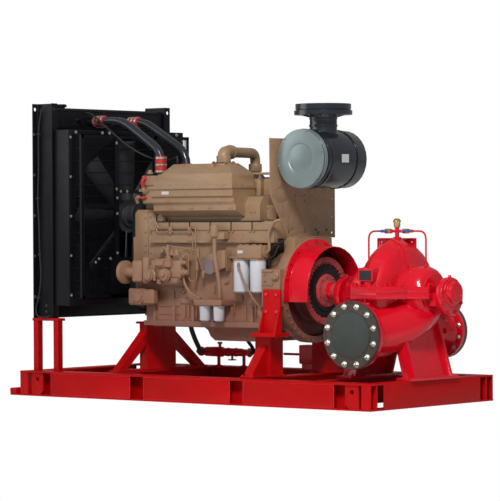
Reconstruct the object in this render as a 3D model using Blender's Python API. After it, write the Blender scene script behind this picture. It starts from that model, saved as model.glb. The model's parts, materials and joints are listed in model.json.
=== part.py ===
"""Diesel fire pump set: inline six engine, radiator and split case pump on one steel skid.

Metres, +Z up. Everything is drawn about the centre of the skid's footprint, +X to the pump end
and -Y to the side with the engine's filters. The last lines centre the whole set on its box.
"""
import bmesh
import bpy
from math import atan2, cos, pi, radians, sin
from mathutils import Matrix, Vector

# Sides of round pieces
ROUND_LARGE = 28
ROUND_MEDIUM = 20
ROUND_SMALL = 14
ROUND_FINE = 10

# Clearances
SEAT = 0.0003
RUNNING_GAP = 0.006
BELT_GAP = 0.001

# Skid
SKID_LENGTH = 3.36
SKID_WIDTH = 1.494
BEAM_HEIGHT = 0.19
BEAM_WIDTH = 0.16
FLANGE_THICK = 0.012
WEB_THICK = 0.010
COVER_THICK = 0.010
COVER_INSET = 0.002
COVER_SPANS = ((-1.68, -1.60), (-1.356, -0.554), (-0.417, 0.4085), (0.537, 1.3585), (1.60, 1.68))
LUG_X = 1.51
LUG_WIDTH = 0.12
LUG_THICK = 0.016
LUG_HOLE = 0.036
CROSS_WIDTH = 0.10
END_BEAM_WIDTH = 0.12
DRAG_REACH = 0.11
DRAG_WIDTH = 0.065
DRAG_HEIGHT = 0.043

# Radiator
RADIATOR_REAR = -1.595
POST_DEPTH = 0.208
POST_WEB_Y = 0.620
POST_TOE_Y = 0.685
POST_THICK = 0.010
POST_FOOT = 0.594
POST_TOP = 2.2325
POST_HOLE = 0.030
TANK_SIDE_GAP = 0.020
TOP_TANK_HIGH = 2.200
TOP_TANK_LOW = TOP_TANK_HIGH - 0.167
BOTTOM_TANK_HIGH = 0.742
STAND_PLATE = 0.020
STAND_LEG = 0.050
STAND_LEG_PITCH = 0.209
STAND_WIDTH = 0.080
SHROUD_DEPTH = 0.155
SHROUD_HALF = 0.665
SHROUD_LOW = 0.690
SHROUD_HIGH = TOP_TANK_LOW - 0.003
SHROUD_WALL = 0.008
GUARD_DEPTH = 0.095
GUARD_HALF = 0.6235
GUARD_LOW = 0.745
GUARD_HIGH = SHROUD_HIGH - 0.038
GUARD_FRAME = 0.014
GUARD_WIRE = 0.007
GUARD_COLUMNS = 8
GUARD_ROWS = 8

# Fan and drive
SHAFT_Z = 0.812
FAN_Z = 1.370
FAN_RADIUS = 0.585
FAN_TIP_GAP = 0.015
FAN_BLADES = 8
FAN_CHORD = 0.15
FAN_PITCH = radians(32)
FAN_BLADE_THICK = 0.006
FAN_X = -1.245
FAN_HUB_RADIUS = 0.13
BELT_X = -1.040
BELT_WIDTH = 0.060
BELT_THICK = 0.012
FAN_PULLEY_RADIUS = 0.110
CRANK_PULLEY_RADIUS = 0.140
PULLEY_RIM = 0.018
DAMPER_RADIUS = 0.105

# Engine
GEAR_FRONT = -0.890
BLOCK_FRONT = -0.700
COVER_PITCH = 0.2015
COVER_FIRST = -0.616
COVER_LOW = 1.165
COVER_LEDGE = 1.259
RIB_PITCH = 0.190
RIB_TOP = 0.695
BLOCK_REAR = 0.350
HEAD_REAR = 0.497
HEAD_FAR = 0.235
HEAD_SETBACK = 0.012
HEAD_TOP = 1.500
ROCKER_FAR = 0.150
ROCKER_TOP = 1.640
GASKET_LIP = 0.020
BLOCK_HALF = 0.300
PAN_RAIL_Z = 0.557
PAN_FRONT = -0.777
PAN_REAR = 0.345
GEAR_LOW = 0.690
GEAR_HIGH = 1.417
GEAR_HALF = 0.295
SHOULDER_Z = 1.328
DECK_Z = 1.370
CYLINDERS = 6
CYLINDER_PITCH = 0.1835
FIRST_CYLINDER = -0.606
COOLER_NEAR = -0.440
COOLER_BACK = -0.172
COOLER_FRONT = -0.607
COOLER_REAR = 0.194
COOLER_LOW = 1.408
COOLER_STEPS = (0.0, 0.016, 0.035)
COOLER_JOINT = 1.578
COOLER_SHOULDER = 1.680
COOLER_TOP = 1.757
HOUSING_RADIUS = 0.385
HOUSING_FACE = 0.620
HOUSING_FLANGE = 0.535
HOUSING_BORE = 0.337
HOUSING_RECESS = 0.070

# Air cleaner
PLATE_X = 0.505
PLATE_THICK = 0.008
CLEANER_X = 0.746
CLEANER_Z = 1.776
CLEANER_RADIUS = 0.2155
CLEANER_NEAR = -0.310
CLEANER_FAR = 0.235
INLET_Y = -0.060
INLET_RADIUS = 0.100
RAIN_CAP_RADIUS = 0.212
RAIN_CAP_LOW = 2.100
RAIN_CAP_HIGH = 2.180

# Coupling guard
GUARD_RING_RADIUS = 0.388
HOOD_RADIUS = 0.326
HOOD_REAR = 0.800
HOOD_WALL = 0.005
HOOD_DROP = 0.077

# Pump
PUMP_X = 1.366
PUMP_CROWN = 0.385
PUMP_FOOT_OFFSET = 0.265
SPLIT_FLANGE = 0.043
SUCTION_Z = 0.516
SUCTION_FACE = -0.557
SUCTION_OD = 0.485
DISCHARGE_Z = 0.516
DISCHARGE_FACE = 0.583
DISCHARGE_OD = 0.406
FLANGE_PLATE = 0.032
SHAFT_RADIUS = 0.035
PUMP_END = 1.891
SHAFT_SHORT = 0.075


# Mesh helpers
def clear_scene():
    for old in list(bpy.data.objects):
        bpy.data.objects.remove(old, do_unlink=True)


def paint(name, colour, roughness, metallic):
    material = bpy.data.materials.new(name)
    material.use_nodes = True
    shader = material.node_tree.nodes["Principled BSDF"]
    shader.inputs["Base Color"].default_value = (*colour, 1.0)
    shader.inputs["Roughness"].default_value = roughness
    shader.inputs["Metallic"].default_value = metallic
    return material


def from_bmesh(bm):
    """Turn a bmesh into an unnamed object with its faces pointing outward."""
    bmesh.ops.recalc_face_normals(bm, faces=bm.faces)
    mesh = bpy.data.meshes.new("shape")
    bm.to_mesh(mesh)
    bm.free()
    shape = bpy.data.objects.new("shape", mesh)
    bpy.context.scene.collection.objects.link(shape)
    return shape


def box(low, high, bevel=0.0):
    """Return a box between two corners, its edges rounded off by bevel."""
    low = Vector([min(a, b) for a, b in zip(low, high)])
    high = Vector([max(a, b) for a, b in zip(low, high)])
    bm = bmesh.new()
    bmesh.ops.create_cube(bm, size=1.0)
    size = high - low
    middle = (high + low) / 2
    for vert in bm.verts:
        vert.co = Vector([middle[i] + vert.co[i] * size[i] for i in range(3)])
    if bevel:
        bmesh.ops.bevel(bm, geom=bm.edges[:], offset=bevel, segments=1, affect="EDGES")
    return from_bmesh(bm)


def corners(low, high):
    """Return the corner points low and high, each coordinate put in order."""
    first = [min(a, b) for a, b in zip(low, high)]
    last = [max(a, b) for a, b in zip(low, high)]
    return first, last


def cuboid(x, y, z, bevel=0.0):
    """Return a box from three spans."""
    first, last = corners((x[0], y[0], z[0]), (x[1], y[1], z[1]))
    return box(first, last, bevel)


def prism(outline, axis, low, high):
    """Extrude a 2D outline along X, Y or Z; the other two axes keep their order."""
    others = {"X": (1, 2), "Y": (0, 2), "Z": (0, 1)}[axis]
    along = "XYZ".index(axis)
    bm = bmesh.new()
    rings = []
    for level in (low, high):
        ring = []
        for point in outline:
            place = [0.0, 0.0, 0.0]
            place[others[0]] = point[0]
            place[others[1]] = point[1]
            place[along] = level
            ring.append(bm.verts.new(place))
        rings.append(ring)
    bm.faces.new(rings[0])
    bm.faces.new(reversed(rings[1]))
    count = len(outline)
    for i in range(count):
        j = (i + 1) % count
        bm.faces.new((rings[0][i], rings[0][j], rings[1][j], rings[1][i]))
    return from_bmesh(bm)


def turn_matrix(axis):
    """Return the rotation that takes +Z to the named axis."""
    if axis == "X":
        return Matrix.Rotation(pi / 2, 4, "Y")
    if axis == "Y":
        return Matrix.Rotation(-pi / 2, 4, "X")
    return Matrix.Identity(4)


def turned(profile, axis, centre, sides=24, phase=0.0):
    """Revolve (distance along the axis, radius) points; the ends close flat or in a point."""
    bm = bmesh.new()
    rings = []
    for along, radius in profile:
        if radius == 0.0:
            rings.append([bm.verts.new((0.0, 0.0, along))])
            continue
        ring = []
        for i in range(sides):
            angle = phase + 2 * pi * i / sides
            ring.append(bm.verts.new((radius * cos(angle), radius * sin(angle), along)))
        rings.append(ring)
    for lower, upper in zip(rings, rings[1:]):
        for i in range(sides):
            j = (i + 1) % sides
            corner = [lower[i % len(lower)], lower[j % len(lower)]]
            corner += [upper[j % len(upper)], upper[i % len(upper)]]
            unique = list(dict.fromkeys(corner))
            if len(unique) > 2:
                bm.faces.new(unique)
    for ring in (rings[0], rings[-1]):
        if len(ring) > 1:
            bm.faces.new(ring)
    bmesh.ops.transform(bm, matrix=Matrix.Translation(centre) @ turn_matrix(axis), verts=bm.verts)
    return from_bmesh(bm)


def disc(axis, centre, radius, low, high, sides=24, phase=0.0):
    """Return a cylinder between two distances along its axis."""
    return turned([(low, radius), (high, radius)], axis, centre, sides, phase)


def ring(axis, centre, outer, inner, low, high, sides=32, phase=0.0):
    """Return a flat ring with a real bore."""
    profile = [(low, inner), (low, outer), (high, outer), (high, inner)]
    bm = bmesh.new()
    rows = []
    for along, radius in profile:
        row = []
        for i in range(sides):
            angle = phase + 2 * pi * i / sides
            row.append(bm.verts.new((radius * cos(angle), radius * sin(angle), along)))
        rows.append(row)
    for k in range(4):
        first = rows[k]
        second = rows[(k + 1) % 4]
        for i in range(sides):
            j = (i + 1) % sides
            bm.faces.new((first[i], first[j], second[j], second[i]))
    bmesh.ops.transform(bm, matrix=Matrix.Translation(centre) @ turn_matrix(axis), verts=bm.verts)
    return from_bmesh(bm)


def rounded(points, radius, steps=4):
    """Return the polyline with each inner corner replaced by an arc."""
    points = [Vector(p) for p in points]
    path = [points[0]]
    for before, corner, after in zip(points, points[1:], points[2:]):
        inward = (before - corner).normalized()
        outward = (after - corner).normalized()
        reach = min(radius, (before - corner).length / 2.02, (after - corner).length / 2.02)
        start = corner + inward * reach
        end = corner + outward * reach
        for i in range(steps + 1):
            t = i / steps
            path.append(start * (1 - t) ** 2 + corner * 2 * t * (1 - t) + end * t ** 2)
    path.append(points[-1])
    return path


def pipe(path, radius, sides=12):
    """Sweep a circle along a path, its frame carried without twist."""
    path = [Vector(p) for p in path]
    bm = bmesh.new()
    side = None
    rows = []
    for i, point in enumerate(path):
        before = path[max(i - 1, 0)]
        after = path[min(i + 1, len(path) - 1)]
        along = (after - before).normalized()
        if side is None:
            guess = Vector((0, 0, 1)) if abs(along.z) < 0.9 else Vector((1, 0, 0))
            side = along.cross(guess).normalized()
        side = (side - along * side.dot(along)).normalized()
        other = along.cross(side)
        row = []
        for k in range(sides):
            angle = 2 * pi * k / sides
            row.append(bm.verts.new(point + side * radius * cos(angle) + other * radius * sin(angle)))
        rows.append(row)
    for first, second in zip(rows, rows[1:]):
        for k in range(sides):
            j = (k + 1) % sides
            bm.faces.new((first[k], first[j], second[j], second[k]))
    bm.faces.new(rows[0])
    bm.faces.new(rows[-1])
    return from_bmesh(bm)


def loft(rows):
    """Skin closed rings of equal length and close both ends."""
    bm = bmesh.new()
    rings = [[bm.verts.new(p) for p in row] for row in rows]
    for first, second in zip(rings, rings[1:]):
        for i in range(len(first)):
            j = (i + 1) % len(first)
            bm.faces.new((first[i], first[j], second[j], second[i]))
    bm.faces.new(rings[0])
    bm.faces.new(rings[-1])
    return from_bmesh(bm)


def rectangle(x, y, z):
    """Return the four corners of a level rectangle."""
    return [(x[0], y[0], z), (x[1], y[0], z), (x[1], y[1], z), (x[0], y[1], z)]


def combine(target, others, operation):
    """Apply exact Booleans to target and take the other shapes away."""
    for other in others:
        step = target.modifiers.new("cut", "BOOLEAN")
        step.operation = operation
        step.solver = "EXACT"
        step.object = other
    graph = bpy.context.evaluated_depsgraph_get()
    result = bpy.data.meshes.new_from_object(target.evaluated_get(graph))
    target.modifiers.clear()
    target.data = result
    for other in others:
        bpy.data.objects.remove(other, do_unlink=True)
    return target


def fuse(*shapes):
    return combine(shapes[0], shapes[1:], "UNION")


def carve(target, *cutters):
    return combine(target, cutters, "DIFFERENCE")


def node(name, shape, material, parent=None, smooth=35):
    """Name a finished shape, give it its material and hang it on its parent."""
    shape.name = name
    mesh = shape.data
    mesh.name = name
    mesh.materials.clear()
    mesh.materials.append(material)
    for face in mesh.polygons:
        face.material_index = 0
    mesh.shade_smooth()
    mesh.set_sharp_from_angle(angle=radians(smooth))
    if parent:
        mesh.transform(Matrix.Translation(-parent.location))
        shape.parent = parent
    return shape


def axis_empty(name, place):
    """Return an empty that carries the pieces turning about it."""
    carrier = bpy.data.objects.new(name, None)
    carrier.location = place
    bpy.context.scene.collection.objects.link(carrier)
    return carrier


clear_scene()

# Paints
RED = paint("pump_red", (0.42, 0.008, 0.008), 0.3, 0.0)
TAN = paint("engine_tan", (0.31, 0.185, 0.095), 0.45, 0.0)
BLACK = paint("radiator_black", (0.012, 0.013, 0.015), 0.4, 0.0)
GREY = paint("pipe_grey", (0.035, 0.037, 0.042), 0.4, 0.0)
STEEL = paint("flange_steel", (0.10, 0.09, 0.08), 0.45, 0.8)
WHITE = paint("filter_white", (0.6, 0.62, 0.65), 0.4, 0.0)
CLEANER = paint("cleaner_black", (0.03, 0.035, 0.045), 0.3, 0.0)
SILVER = paint("cap_silver", (0.22, 0.27, 0.25), 0.4, 0.6)
RUBBER = paint("coupling_rubber", (0.012, 0.012, 0.012), 0.7, 0.0)
BRASS = paint("valve_brass", (0.55, 0.36, 0.12), 0.3, 0.9)
BLUE = paint("lever_blue", (0.01, 0.05, 0.35), 0.4, 0.0)

drive_axis = axis_empty("drive_axis", (0.0, 0.0, SHAFT_Z))
fan_axis = axis_empty("fan_axis", (0.0, 0.0, FAN_Z))

half_length = SKID_LENGTH / 2
beam_y = SKID_WIDTH / 2 - BEAM_WIDTH / 2


# Skid
def beam_outline(middle, width, height, flange, web):
    """Return the outline of a wide flange beam that stands on zero."""
    half = width / 2
    core = web / 2
    right = [(half, 0), (half, flange), (core, flange), (core, height - flange)]
    right += [(half, height - flange), (half, height)]
    left = [(-y, z) for y, z in reversed(right)]
    return [(middle + y, z) for y, z in right + left]


def skid_beam(side):
    """Long beam with its cover plates, lifting lugs and the stub under the drag bar."""
    outer = side * SKID_WIDTH / 2
    outline = beam_outline(side * beam_y, BEAM_WIDTH, BEAM_HEIGHT, FLANGE_THICK, WEB_THICK)
    beam = prism(outline, "X", -half_length, half_length)
    pieces = []
    bite = FLANGE_THICK / 2
    plate_z = (bite, BEAM_HEIGHT - bite)
    face = outer - side * COVER_INSET
    for start, end in COVER_SPANS:
        pieces.append(cuboid((start, end), (face, face - side * COVER_THICK), plate_z))
    for end in (-1, 1):
        lug_x = end * LUG_X
        half = LUG_WIDTH / 2
        cut = LUG_WIDTH * 0.3
        points = [(lug_x - half * end, plate_z[1]), (lug_x + half * end, plate_z[1])]
        points += [(lug_x + half * end, plate_z[0]), (lug_x - (half - cut) * end, plate_z[0])]
        points += [(lug_x - half * end, plate_z[0] + cut)]
        lug_face = face - side * COVER_THICK
        lug = prism(points, "Y", lug_face, lug_face - side * LUG_THICK)
        hole_z = BEAM_HEIGHT * 0.68
        hole = disc("Y", (lug_x, lug_face, hole_z), LUG_HOLE / 2, -2 * LUG_THICK, 2 * LUG_THICK, ROUND_FINE)
        pieces.append(carve(lug, hole))
    inner = side * (SKID_WIDTH / 2 - BEAM_WIDTH)
    stub_x = (-half_length - DRAG_REACH, -half_length + BEAM_HEIGHT)
    pieces.append(cuboid(stub_x, (outer - side * bite, inner + side * bite), (0, FLANGE_THICK)))
    return fuse(beam, *pieces)


node("skid_beam_near", skid_beam(-1), RED)
node("skid_beam_far", skid_beam(1), RED)

cross_reach = beam_y - BEAM_WIDTH / 2 - SEAT
tongue_reach = beam_y - WEB_THICK / 2 - SEAT


def cross_member(x):
    """Beam across the skid, coped so that its web reaches the long beams' webs."""
    outline = beam_outline(x, CROSS_WIDTH, BEAM_HEIGHT, FLANGE_THICK, WEB_THICK)
    beam = prism(outline, "Y", -cross_reach, cross_reach)
    tongue_z = (FLANGE_THICK + SEAT, BEAM_HEIGHT - FLANGE_THICK - SEAT)
    half = WEB_THICK * 0.8
    return fuse(beam, cuboid((x - half, x + half), (-tongue_reach, tongue_reach), tongue_z))


def end_beam(end):
    """Channel across one end, its flat web outward."""
    face = end * half_length
    web = end * (half_length - WEB_THICK)
    toe = end * (half_length - END_BEAM_WIDTH)
    top = BEAM_HEIGHT
    points = [(face, 0), (face, top), (toe, top), (toe, top - FLANGE_THICK)]
    points += [(web, top - FLANGE_THICK), (web, FLANGE_THICK), (toe, FLANGE_THICK), (toe, 0)]
    return prism(points, "Y", -cross_reach, cross_reach)


FRONT_SUPPORT_X = -0.920
REAR_SUPPORT_X = 0.447
radiator_mid = RADIATOR_REAR + POST_DEPTH / 2
node("end_beam_radiator", end_beam(-1), RED)
node("end_beam_pump", end_beam(1), RED)
node("cross_member_engine_front", cross_member(FRONT_SUPPORT_X), RED)
node("cross_member_engine_rear", cross_member(REAR_SUPPORT_X), RED)
node("cross_member_pump", cross_member(PUMP_X - PUMP_FOOT_OFFSET), RED)

drag_x = (-half_length - DRAG_REACH, -half_length - DRAG_REACH + DRAG_WIDTH)
drag_z = (FLANGE_THICK + SEAT, FLANGE_THICK + SEAT + DRAG_HEIGHT)
node("drag_bar", cuboid(drag_x, (-SKID_WIDTH / 2, SKID_WIDTH / 2), drag_z, 0.004), RED)


# Radiator
def radiator_stand(side):
    """Two square legs under a plate that carries one radiator post."""
    front = RADIATOR_REAR + STAND_LEG_PITCH + STAND_LEG
    inner = side * (POST_TOE_Y + 0.005 - STAND_WIDTH)
    outer = side * (POST_TOE_Y + 0.005)
    high = POST_FOOT - SEAT
    low = high - STAND_PLATE
    plate = cuboid((RADIATOR_REAR - 0.005, front + 0.005), (inner, outer), (low, high))
    legs = []
    for x in (RADIATOR_REAR, RADIATOR_REAR + STAND_LEG_PITCH):
        leg_y = (outer - side * 0.006, outer - side * (0.006 + STAND_LEG))
        legs.append(cuboid((x, x + STAND_LEG), leg_y, (BEAM_HEIGHT + SEAT, low + STAND_PLATE / 2)))
    return fuse(plate, *legs)


def radiator_post(side):
    """Channel with its toes outward and a lifting hole in each flange."""
    x0 = RADIATOR_REAR
    x1 = RADIATOR_REAR + POST_DEPTH
    web = side * POST_WEB_Y
    back = side * (POST_WEB_Y + POST_THICK)
    toe = side * POST_TOE_Y
    points = [(x0, toe), (x0, web), (x1, web), (x1, toe)]
    points += [(x1 - POST_THICK, toe), (x1 - POST_THICK, back)]
    points += [(x0 + POST_THICK, back), (x0 + POST_THICK, toe)]
    post = prism(points, "Z", POST_FOOT, POST_TOP)
    hole_y = side * (POST_WEB_Y + POST_TOE_Y + POST_THICK) / 2
    hole_z = POST_TOP - 0.042
    hole = disc("X", (radiator_mid, hole_y, hole_z), POST_HOLE / 2, -POST_DEPTH, POST_DEPTH, ROUND_FINE)
    return carve(post, hole)


for side, label in ((-1, "near"), (1, "far")):
    node("radiator_stand_" + label, radiator_stand(side), RED)
    node("radiator_post_" + label, radiator_post(side), BLACK)

tank_x = (RADIATOR_REAR + TANK_SIDE_GAP, RADIATOR_REAR + POST_DEPTH - TANK_SIDE_GAP)
tank_half = POST_WEB_Y - SEAT
PIPE_RADIUS = 0.034
PIPE_NEAR_Y = -0.235
PIPE_FAR_Y = 0.160
PIPE_HIGH_Z = TOP_TANK_HIGH - 0.100
FILLER_X = -1.49
FILLER_Y = -0.48

top_tank = cuboid(tank_x, (-tank_half, tank_half), (TOP_TANK_LOW + SEAT, TOP_TANK_HIGH), 0.012)
filler_low = TOP_TANK_HIGH - 0.01
filler_neck = disc("Z", (FILLER_X, FILLER_Y, filler_low), 0.036, 0, 0.03, ROUND_SMALL)
filler_cap = disc("Z", (FILLER_X, FILLER_Y, filler_low), 0.044, 0.02, 0.042, ROUND_SMALL)
outlets = []
for pipe_y in (PIPE_NEAR_Y, PIPE_FAR_Y):
    place = (tank_x[1], pipe_y, PIPE_HIGH_Z)
    outlets.append(disc("X", place, PIPE_RADIUS, -0.02, 0.05, ROUND_SMALL))
node("radiator_top_tank", fuse(top_tank, filler_neck, filler_cap, *outlets), BLACK)
bottom_low = POST_FOOT + 0.002
bottom_tank = cuboid(tank_x, (-tank_half, tank_half), (bottom_low, BOTTOM_TANK_HIGH), 0.012)
node("radiator_bottom_tank", bottom_tank, BLACK)
core_x = (tank_x[0] + 0.012, tank_x[1] - 0.012)
core_z = (BOTTOM_TANK_HIGH + SEAT, TOP_TANK_LOW)
node("radiator_core", cuboid(core_x, (-tank_half, tank_half), core_z), BLACK)

shroud_x = (RADIATOR_REAR + POST_DEPTH + SEAT, RADIATOR_REAR + POST_DEPTH + SHROUD_DEPTH)
fan_hole_radius = FAN_RADIUS + FAN_TIP_GAP


def fan_shroud():
    """Sheet box open to the core, with a round hole for the fan."""
    wall = SHROUD_WALL
    shell = cuboid(shroud_x, (-SHROUD_HALF, SHROUD_HALF), (SHROUD_LOW, SHROUD_HIGH))
    inside_y = (-SHROUD_HALF + wall, SHROUD_HALF - wall)
    inside_z = (SHROUD_LOW + wall, SHROUD_HIGH - wall)
    inside = cuboid((shroud_x[0] - wall, shroud_x[1] - wall), inside_y, inside_z)
    hole = disc("X", (shroud_x[1], 0, FAN_Z), fan_hole_radius, -0.05, 0.05, ROUND_LARGE)
    return carve(shell, inside, hole)


node("fan_shroud", fan_shroud(), BLACK)

guard_x = (shroud_x[1] + SEAT, shroud_x[1] + SEAT + GUARD_DEPTH)
GUARD_EYE = 0.150


def spaced(low, high, count):
    """Return the inner points that split a span into count equal bays."""
    return [low + (high - low) * i / count for i in range(1, count)]


def fan_guard():
    """Cage of bars before the fan, with an eye for the hub."""
    frame = GUARD_FRAME
    wire = GUARD_WIRE
    y0 = -GUARD_HALF
    y1 = GUARD_HALF
    z0 = GUARD_LOW
    z1 = GUARD_HIGH
    front = (guard_x[1] - frame, guard_x[1])
    outer = cuboid(guard_x, (y0, y1), (z0, z1))
    hollow = cuboid((guard_x[0] - 0.01, guard_x[1] + 0.01), (y0 + frame, y1 - frame), (z0 + frame, z1 - frame))
    cage = carve(outer, hollow)
    face = (front[0] + 0.002, front[0] + 0.002 + wire)
    bars = []
    for y in spaced(y0, y1, GUARD_COLUMNS):
        bars.append(cuboid(face, (y - wire / 2, y + wire / 2), (z0 + frame / 2, z1 - frame / 2)))
    lift = wire * 0.4
    for z in spaced(z0, z1, GUARD_ROWS):
        row = (face[0] + lift, face[1] + lift)
        bars.append(cuboid(row, (y0 + frame / 2, y1 - frame / 2), (z - wire / 2, z + wire / 2)))
    cage = fuse(cage, *bars)
    eye_cut = disc("X", (face[0], 0, FAN_Z), GUARD_EYE, -0.03, 0.03, ROUND_MEDIUM)
    cage = carve(cage, eye_cut)
    rim = ring("X", (face[0], 0, FAN_Z), GUARD_EYE + 0.01, GUARD_EYE - 0.002, -0.003, wire + lift + 0.003, ROUND_MEDIUM)
    return fuse(cage, rim)


node("fan_guard", fan_guard(), BLACK)


# Fan and its drive
def fan_wheel():
    """Pressed hub with pitched blades, on the fan axis."""
    hub = disc("X", (FAN_X, 0, FAN_Z), FAN_HUB_RADIUS, -0.02, 0.02, ROUND_MEDIUM)
    blades = []
    root = FAN_HUB_RADIUS - 0.015
    for i in range(FAN_BLADES):
        turn = Matrix.Rotation(2 * pi * i / FAN_BLADES, 4, "X")
        rows = []
        for radius, chord, pitch in ((root, 0.6, 1.25), (FAN_RADIUS * 0.55, 0.85, 1.0), (FAN_RADIUS - 0.004, 1.0, 0.8)):
            half = FAN_CHORD * chord / 2
            thick = FAN_BLADE_THICK / 2
            lean = FAN_PITCH * pitch
            row = []
            for u, w in ((-half, -thick), (0, -thick - 0.004), (half, -thick), (half, thick), (0, thick - 0.004), (-half, thick)):
                y = u * cos(lean) - w * sin(lean)
                x = u * sin(lean) + w * cos(lean)
                row.append(Matrix.Translation((FAN_X, 0, FAN_Z)) @ turn @ Vector((x, y, radius)))
            rows.append(row)
        blades.append(loft(rows))
    return fuse(hub, *blades)


node("fan", fan_wheel(), GREY, fan_axis)


def grooved_pulley(x, z, radius, extra):
    """Flat belt pulley with a rim at each side, joined to what turns with it."""
    half = BELT_WIDTH / 2 + 0.004
    rim = radius + PULLEY_RIM
    edge = half + 0.006
    profile = [(-edge, rim), (-half - 0.001, rim), (-half, radius), (half, radius), (half + 0.001, rim), (edge, rim)]
    pulley = turned(profile, "X", (x, 0, z), ROUND_LARGE)
    return fuse(pulley, *extra)


belt_front = BELT_X - BELT_WIDTH / 2 - 0.010
belt_back = BELT_X + BELT_WIDTH / 2 + 0.010
spool_low = FAN_X + 0.02 + SEAT
fan_spool = turned([(spool_low, 0.085), (spool_low + 0.02, 0.085), (spool_low + 0.025, 0.06), (belt_front + 0.004, 0.06)], "X", (0, 0, FAN_Z), ROUND_MEDIUM)
node("fan_pulley", grooved_pulley(BELT_X, FAN_Z, FAN_PULLEY_RADIUS, [fan_spool]), BLACK, fan_axis)
crank_nose = disc("X", (0, 0, SHAFT_Z), 0.045, BELT_X, GEAR_FRONT - SEAT, ROUND_MEDIUM)
damper = disc("X", (0, 0, SHAFT_Z), DAMPER_RADIUS, belt_back + 0.012, belt_back + 0.060, ROUND_LARGE)
node("crank_pulley", grooved_pulley(BELT_X, SHAFT_Z, CRANK_PULLEY_RADIUS, [crank_nose, damper]), BLACK, drive_axis)


def belt_outline(extra):
    """Return the loop round both pulleys, grown outward by extra."""
    small = FAN_PULLEY_RADIUS + BELT_GAP + extra
    large = CRANK_PULLEY_RADIUS + BELT_GAP + extra
    lean = atan2(large - small, FAN_Z - SHAFT_Z)
    steps = 16
    points = []
    for i in range(steps + 1):
        angle = lean + (pi - 2 * lean) * i / steps
        points.append((small * cos(angle), FAN_Z + small * sin(angle)))
    for i in range(steps + 1):
        angle = pi - lean + (pi + 2 * lean) * i / steps
        points.append((large * cos(angle), SHAFT_Z + large * sin(angle)))
    return points


belt_span = (BELT_X - BELT_WIDTH / 2, BELT_X + BELT_WIDTH / 2)
belt = prism(belt_outline(BELT_THICK), "X", *belt_span)
belt_inside = prism(belt_outline(0.0), "X", belt_span[0] - 0.01, belt_span[1] + 0.01)
node("fan_belt", carve(belt, belt_inside), RUBBER)


# Engine
def gear_housing():
    """Timing gear case with its cover, wider at the foot."""
    chamfer = 0.030
    outline = [(-GEAR_HALF, GEAR_LOW), (GEAR_HALF, GEAR_LOW), (GEAR_HALF, GEAR_HIGH - chamfer)]
    outline += [(GEAR_HALF - chamfer, GEAR_HIGH), (chamfer - GEAR_HALF, GEAR_HIGH), (-GEAR_HALF, GEAR_HIGH - chamfer)]
    case = prism(outline, "X", GEAR_FRONT, BLOCK_FRONT - SEAT)
    boss_profile = [(belt_back + SEAT, 0.045), (GEAR_FRONT - 0.03, 0.055), (GEAR_FRONT - 0.02, 0.09)]
    boss_profile.append((GEAR_FRONT + 0.01, 0.09))
    boss = turned(boss_profile, "X", (0, 0, FAN_Z), ROUND_SMALL)
    arm = cuboid((GEAR_FRONT - 0.03, GEAR_FRONT + 0.01), (-0.07, 0.07), (FAN_Z - 0.22, FAN_Z), 0.004)
    inner = -GEAR_HALF + 0.02
    bay = cuboid((-0.80, -0.705), (-0.445, inner), (0.870, 1.035), 0.012)
    wheel_profile = [(-0.925, 0.04), (-0.918, 0.088), (-0.886, 0.088), (-0.880, 0.04), (-0.79, 0.04)]
    wheel = turned(wheel_profile, "X", (0, -0.400, 0.945), ROUND_MEDIUM)
    low_bay = cuboid((-0.885, -0.704), (-0.395, inner), (0.695, 0.823), 0.014)
    low_lug = cuboid((-0.73, -0.62), (-0.405, -BLOCK_HALF - 0.034), (0.700, 0.818), 0.014)
    return fuse(case, boss, arm, bay, wheel, low_bay, low_lug)


node("gear_housing", gear_housing(), TAN)


def engine_block():
    """Crankcase with its side ribs and the follower covers on the filter side."""
    half = BLOCK_HALF
    rail = PAN_RAIL_Z + SEAT
    lower = [(-half, rail), (half, rail), (half, SHOULDER_Z), (0.24, DECK_Z), (COOLER_BACK + SEAT, DECK_Z)]
    lower += [(COOLER_BACK + SEAT, SHOULDER_Z), (-half, SHOULDER_Z)]
    case = prism(lower, "X", BLOCK_FRONT, BLOCK_REAR - SEAT)
    housing_top = SHAFT_Z + HOUSING_RADIUS + SEAT
    upper = [(-half, housing_top), (half, housing_top), (half, SHOULDER_Z), (0.24, DECK_Z)]
    upper += [(COOLER_BACK + SEAT, DECK_Z), (COOLER_BACK + SEAT, SHOULDER_Z), (-half, SHOULDER_Z)]
    pieces = [prism(upper, "X", BLOCK_REAR - 0.05, HEAD_REAR)]
    pieces.append(cuboid((PAN_FRONT, BLOCK_FRONT + 0.02), (-half, half), (rail, GEAR_LOW - SEAT)))
    pieces.append(cuboid((PAN_FRONT, BLOCK_REAR - SEAT), (-half - 0.03, half + 0.03), (rail, rail + 0.022)))
    strip = (-half - 0.027, -half + 0.02)
    pieces.append(cuboid((BLOCK_FRONT + 0.006, HEAD_REAR - 0.004), strip, (COVER_LOW + 0.004, SHOULDER_Z - 0.006)))
    for i in range(CYLINDERS):
        x = COVER_FIRST + COVER_PITCH * i
        span = (x - COVER_PITCH * 0.48, x + COVER_PITCH * 0.48)
        proud = (-half - 0.035, -half - 0.02)
        pieces.append(cuboid(span, proud, (COVER_LEDGE, SHOULDER_Z - 0.009), 0.003))
        pieces.append(cuboid(span, proud, (COVER_LOW, COVER_LOW + 0.022), 0.003))
    for i in range(CYLINDERS):
        x = BLOCK_FRONT + 0.02 + RIB_PITCH * i
        for side in (-1, 1):
            rib = (side * (half + 0.022), side * (half - 0.02))
            pieces.append(cuboid((x - 0.010, x + 0.010), rib, (rail + 0.01, RIB_TOP)))
    return fuse(case, *pieces)


node("engine_block", engine_block(), TAN)


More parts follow.
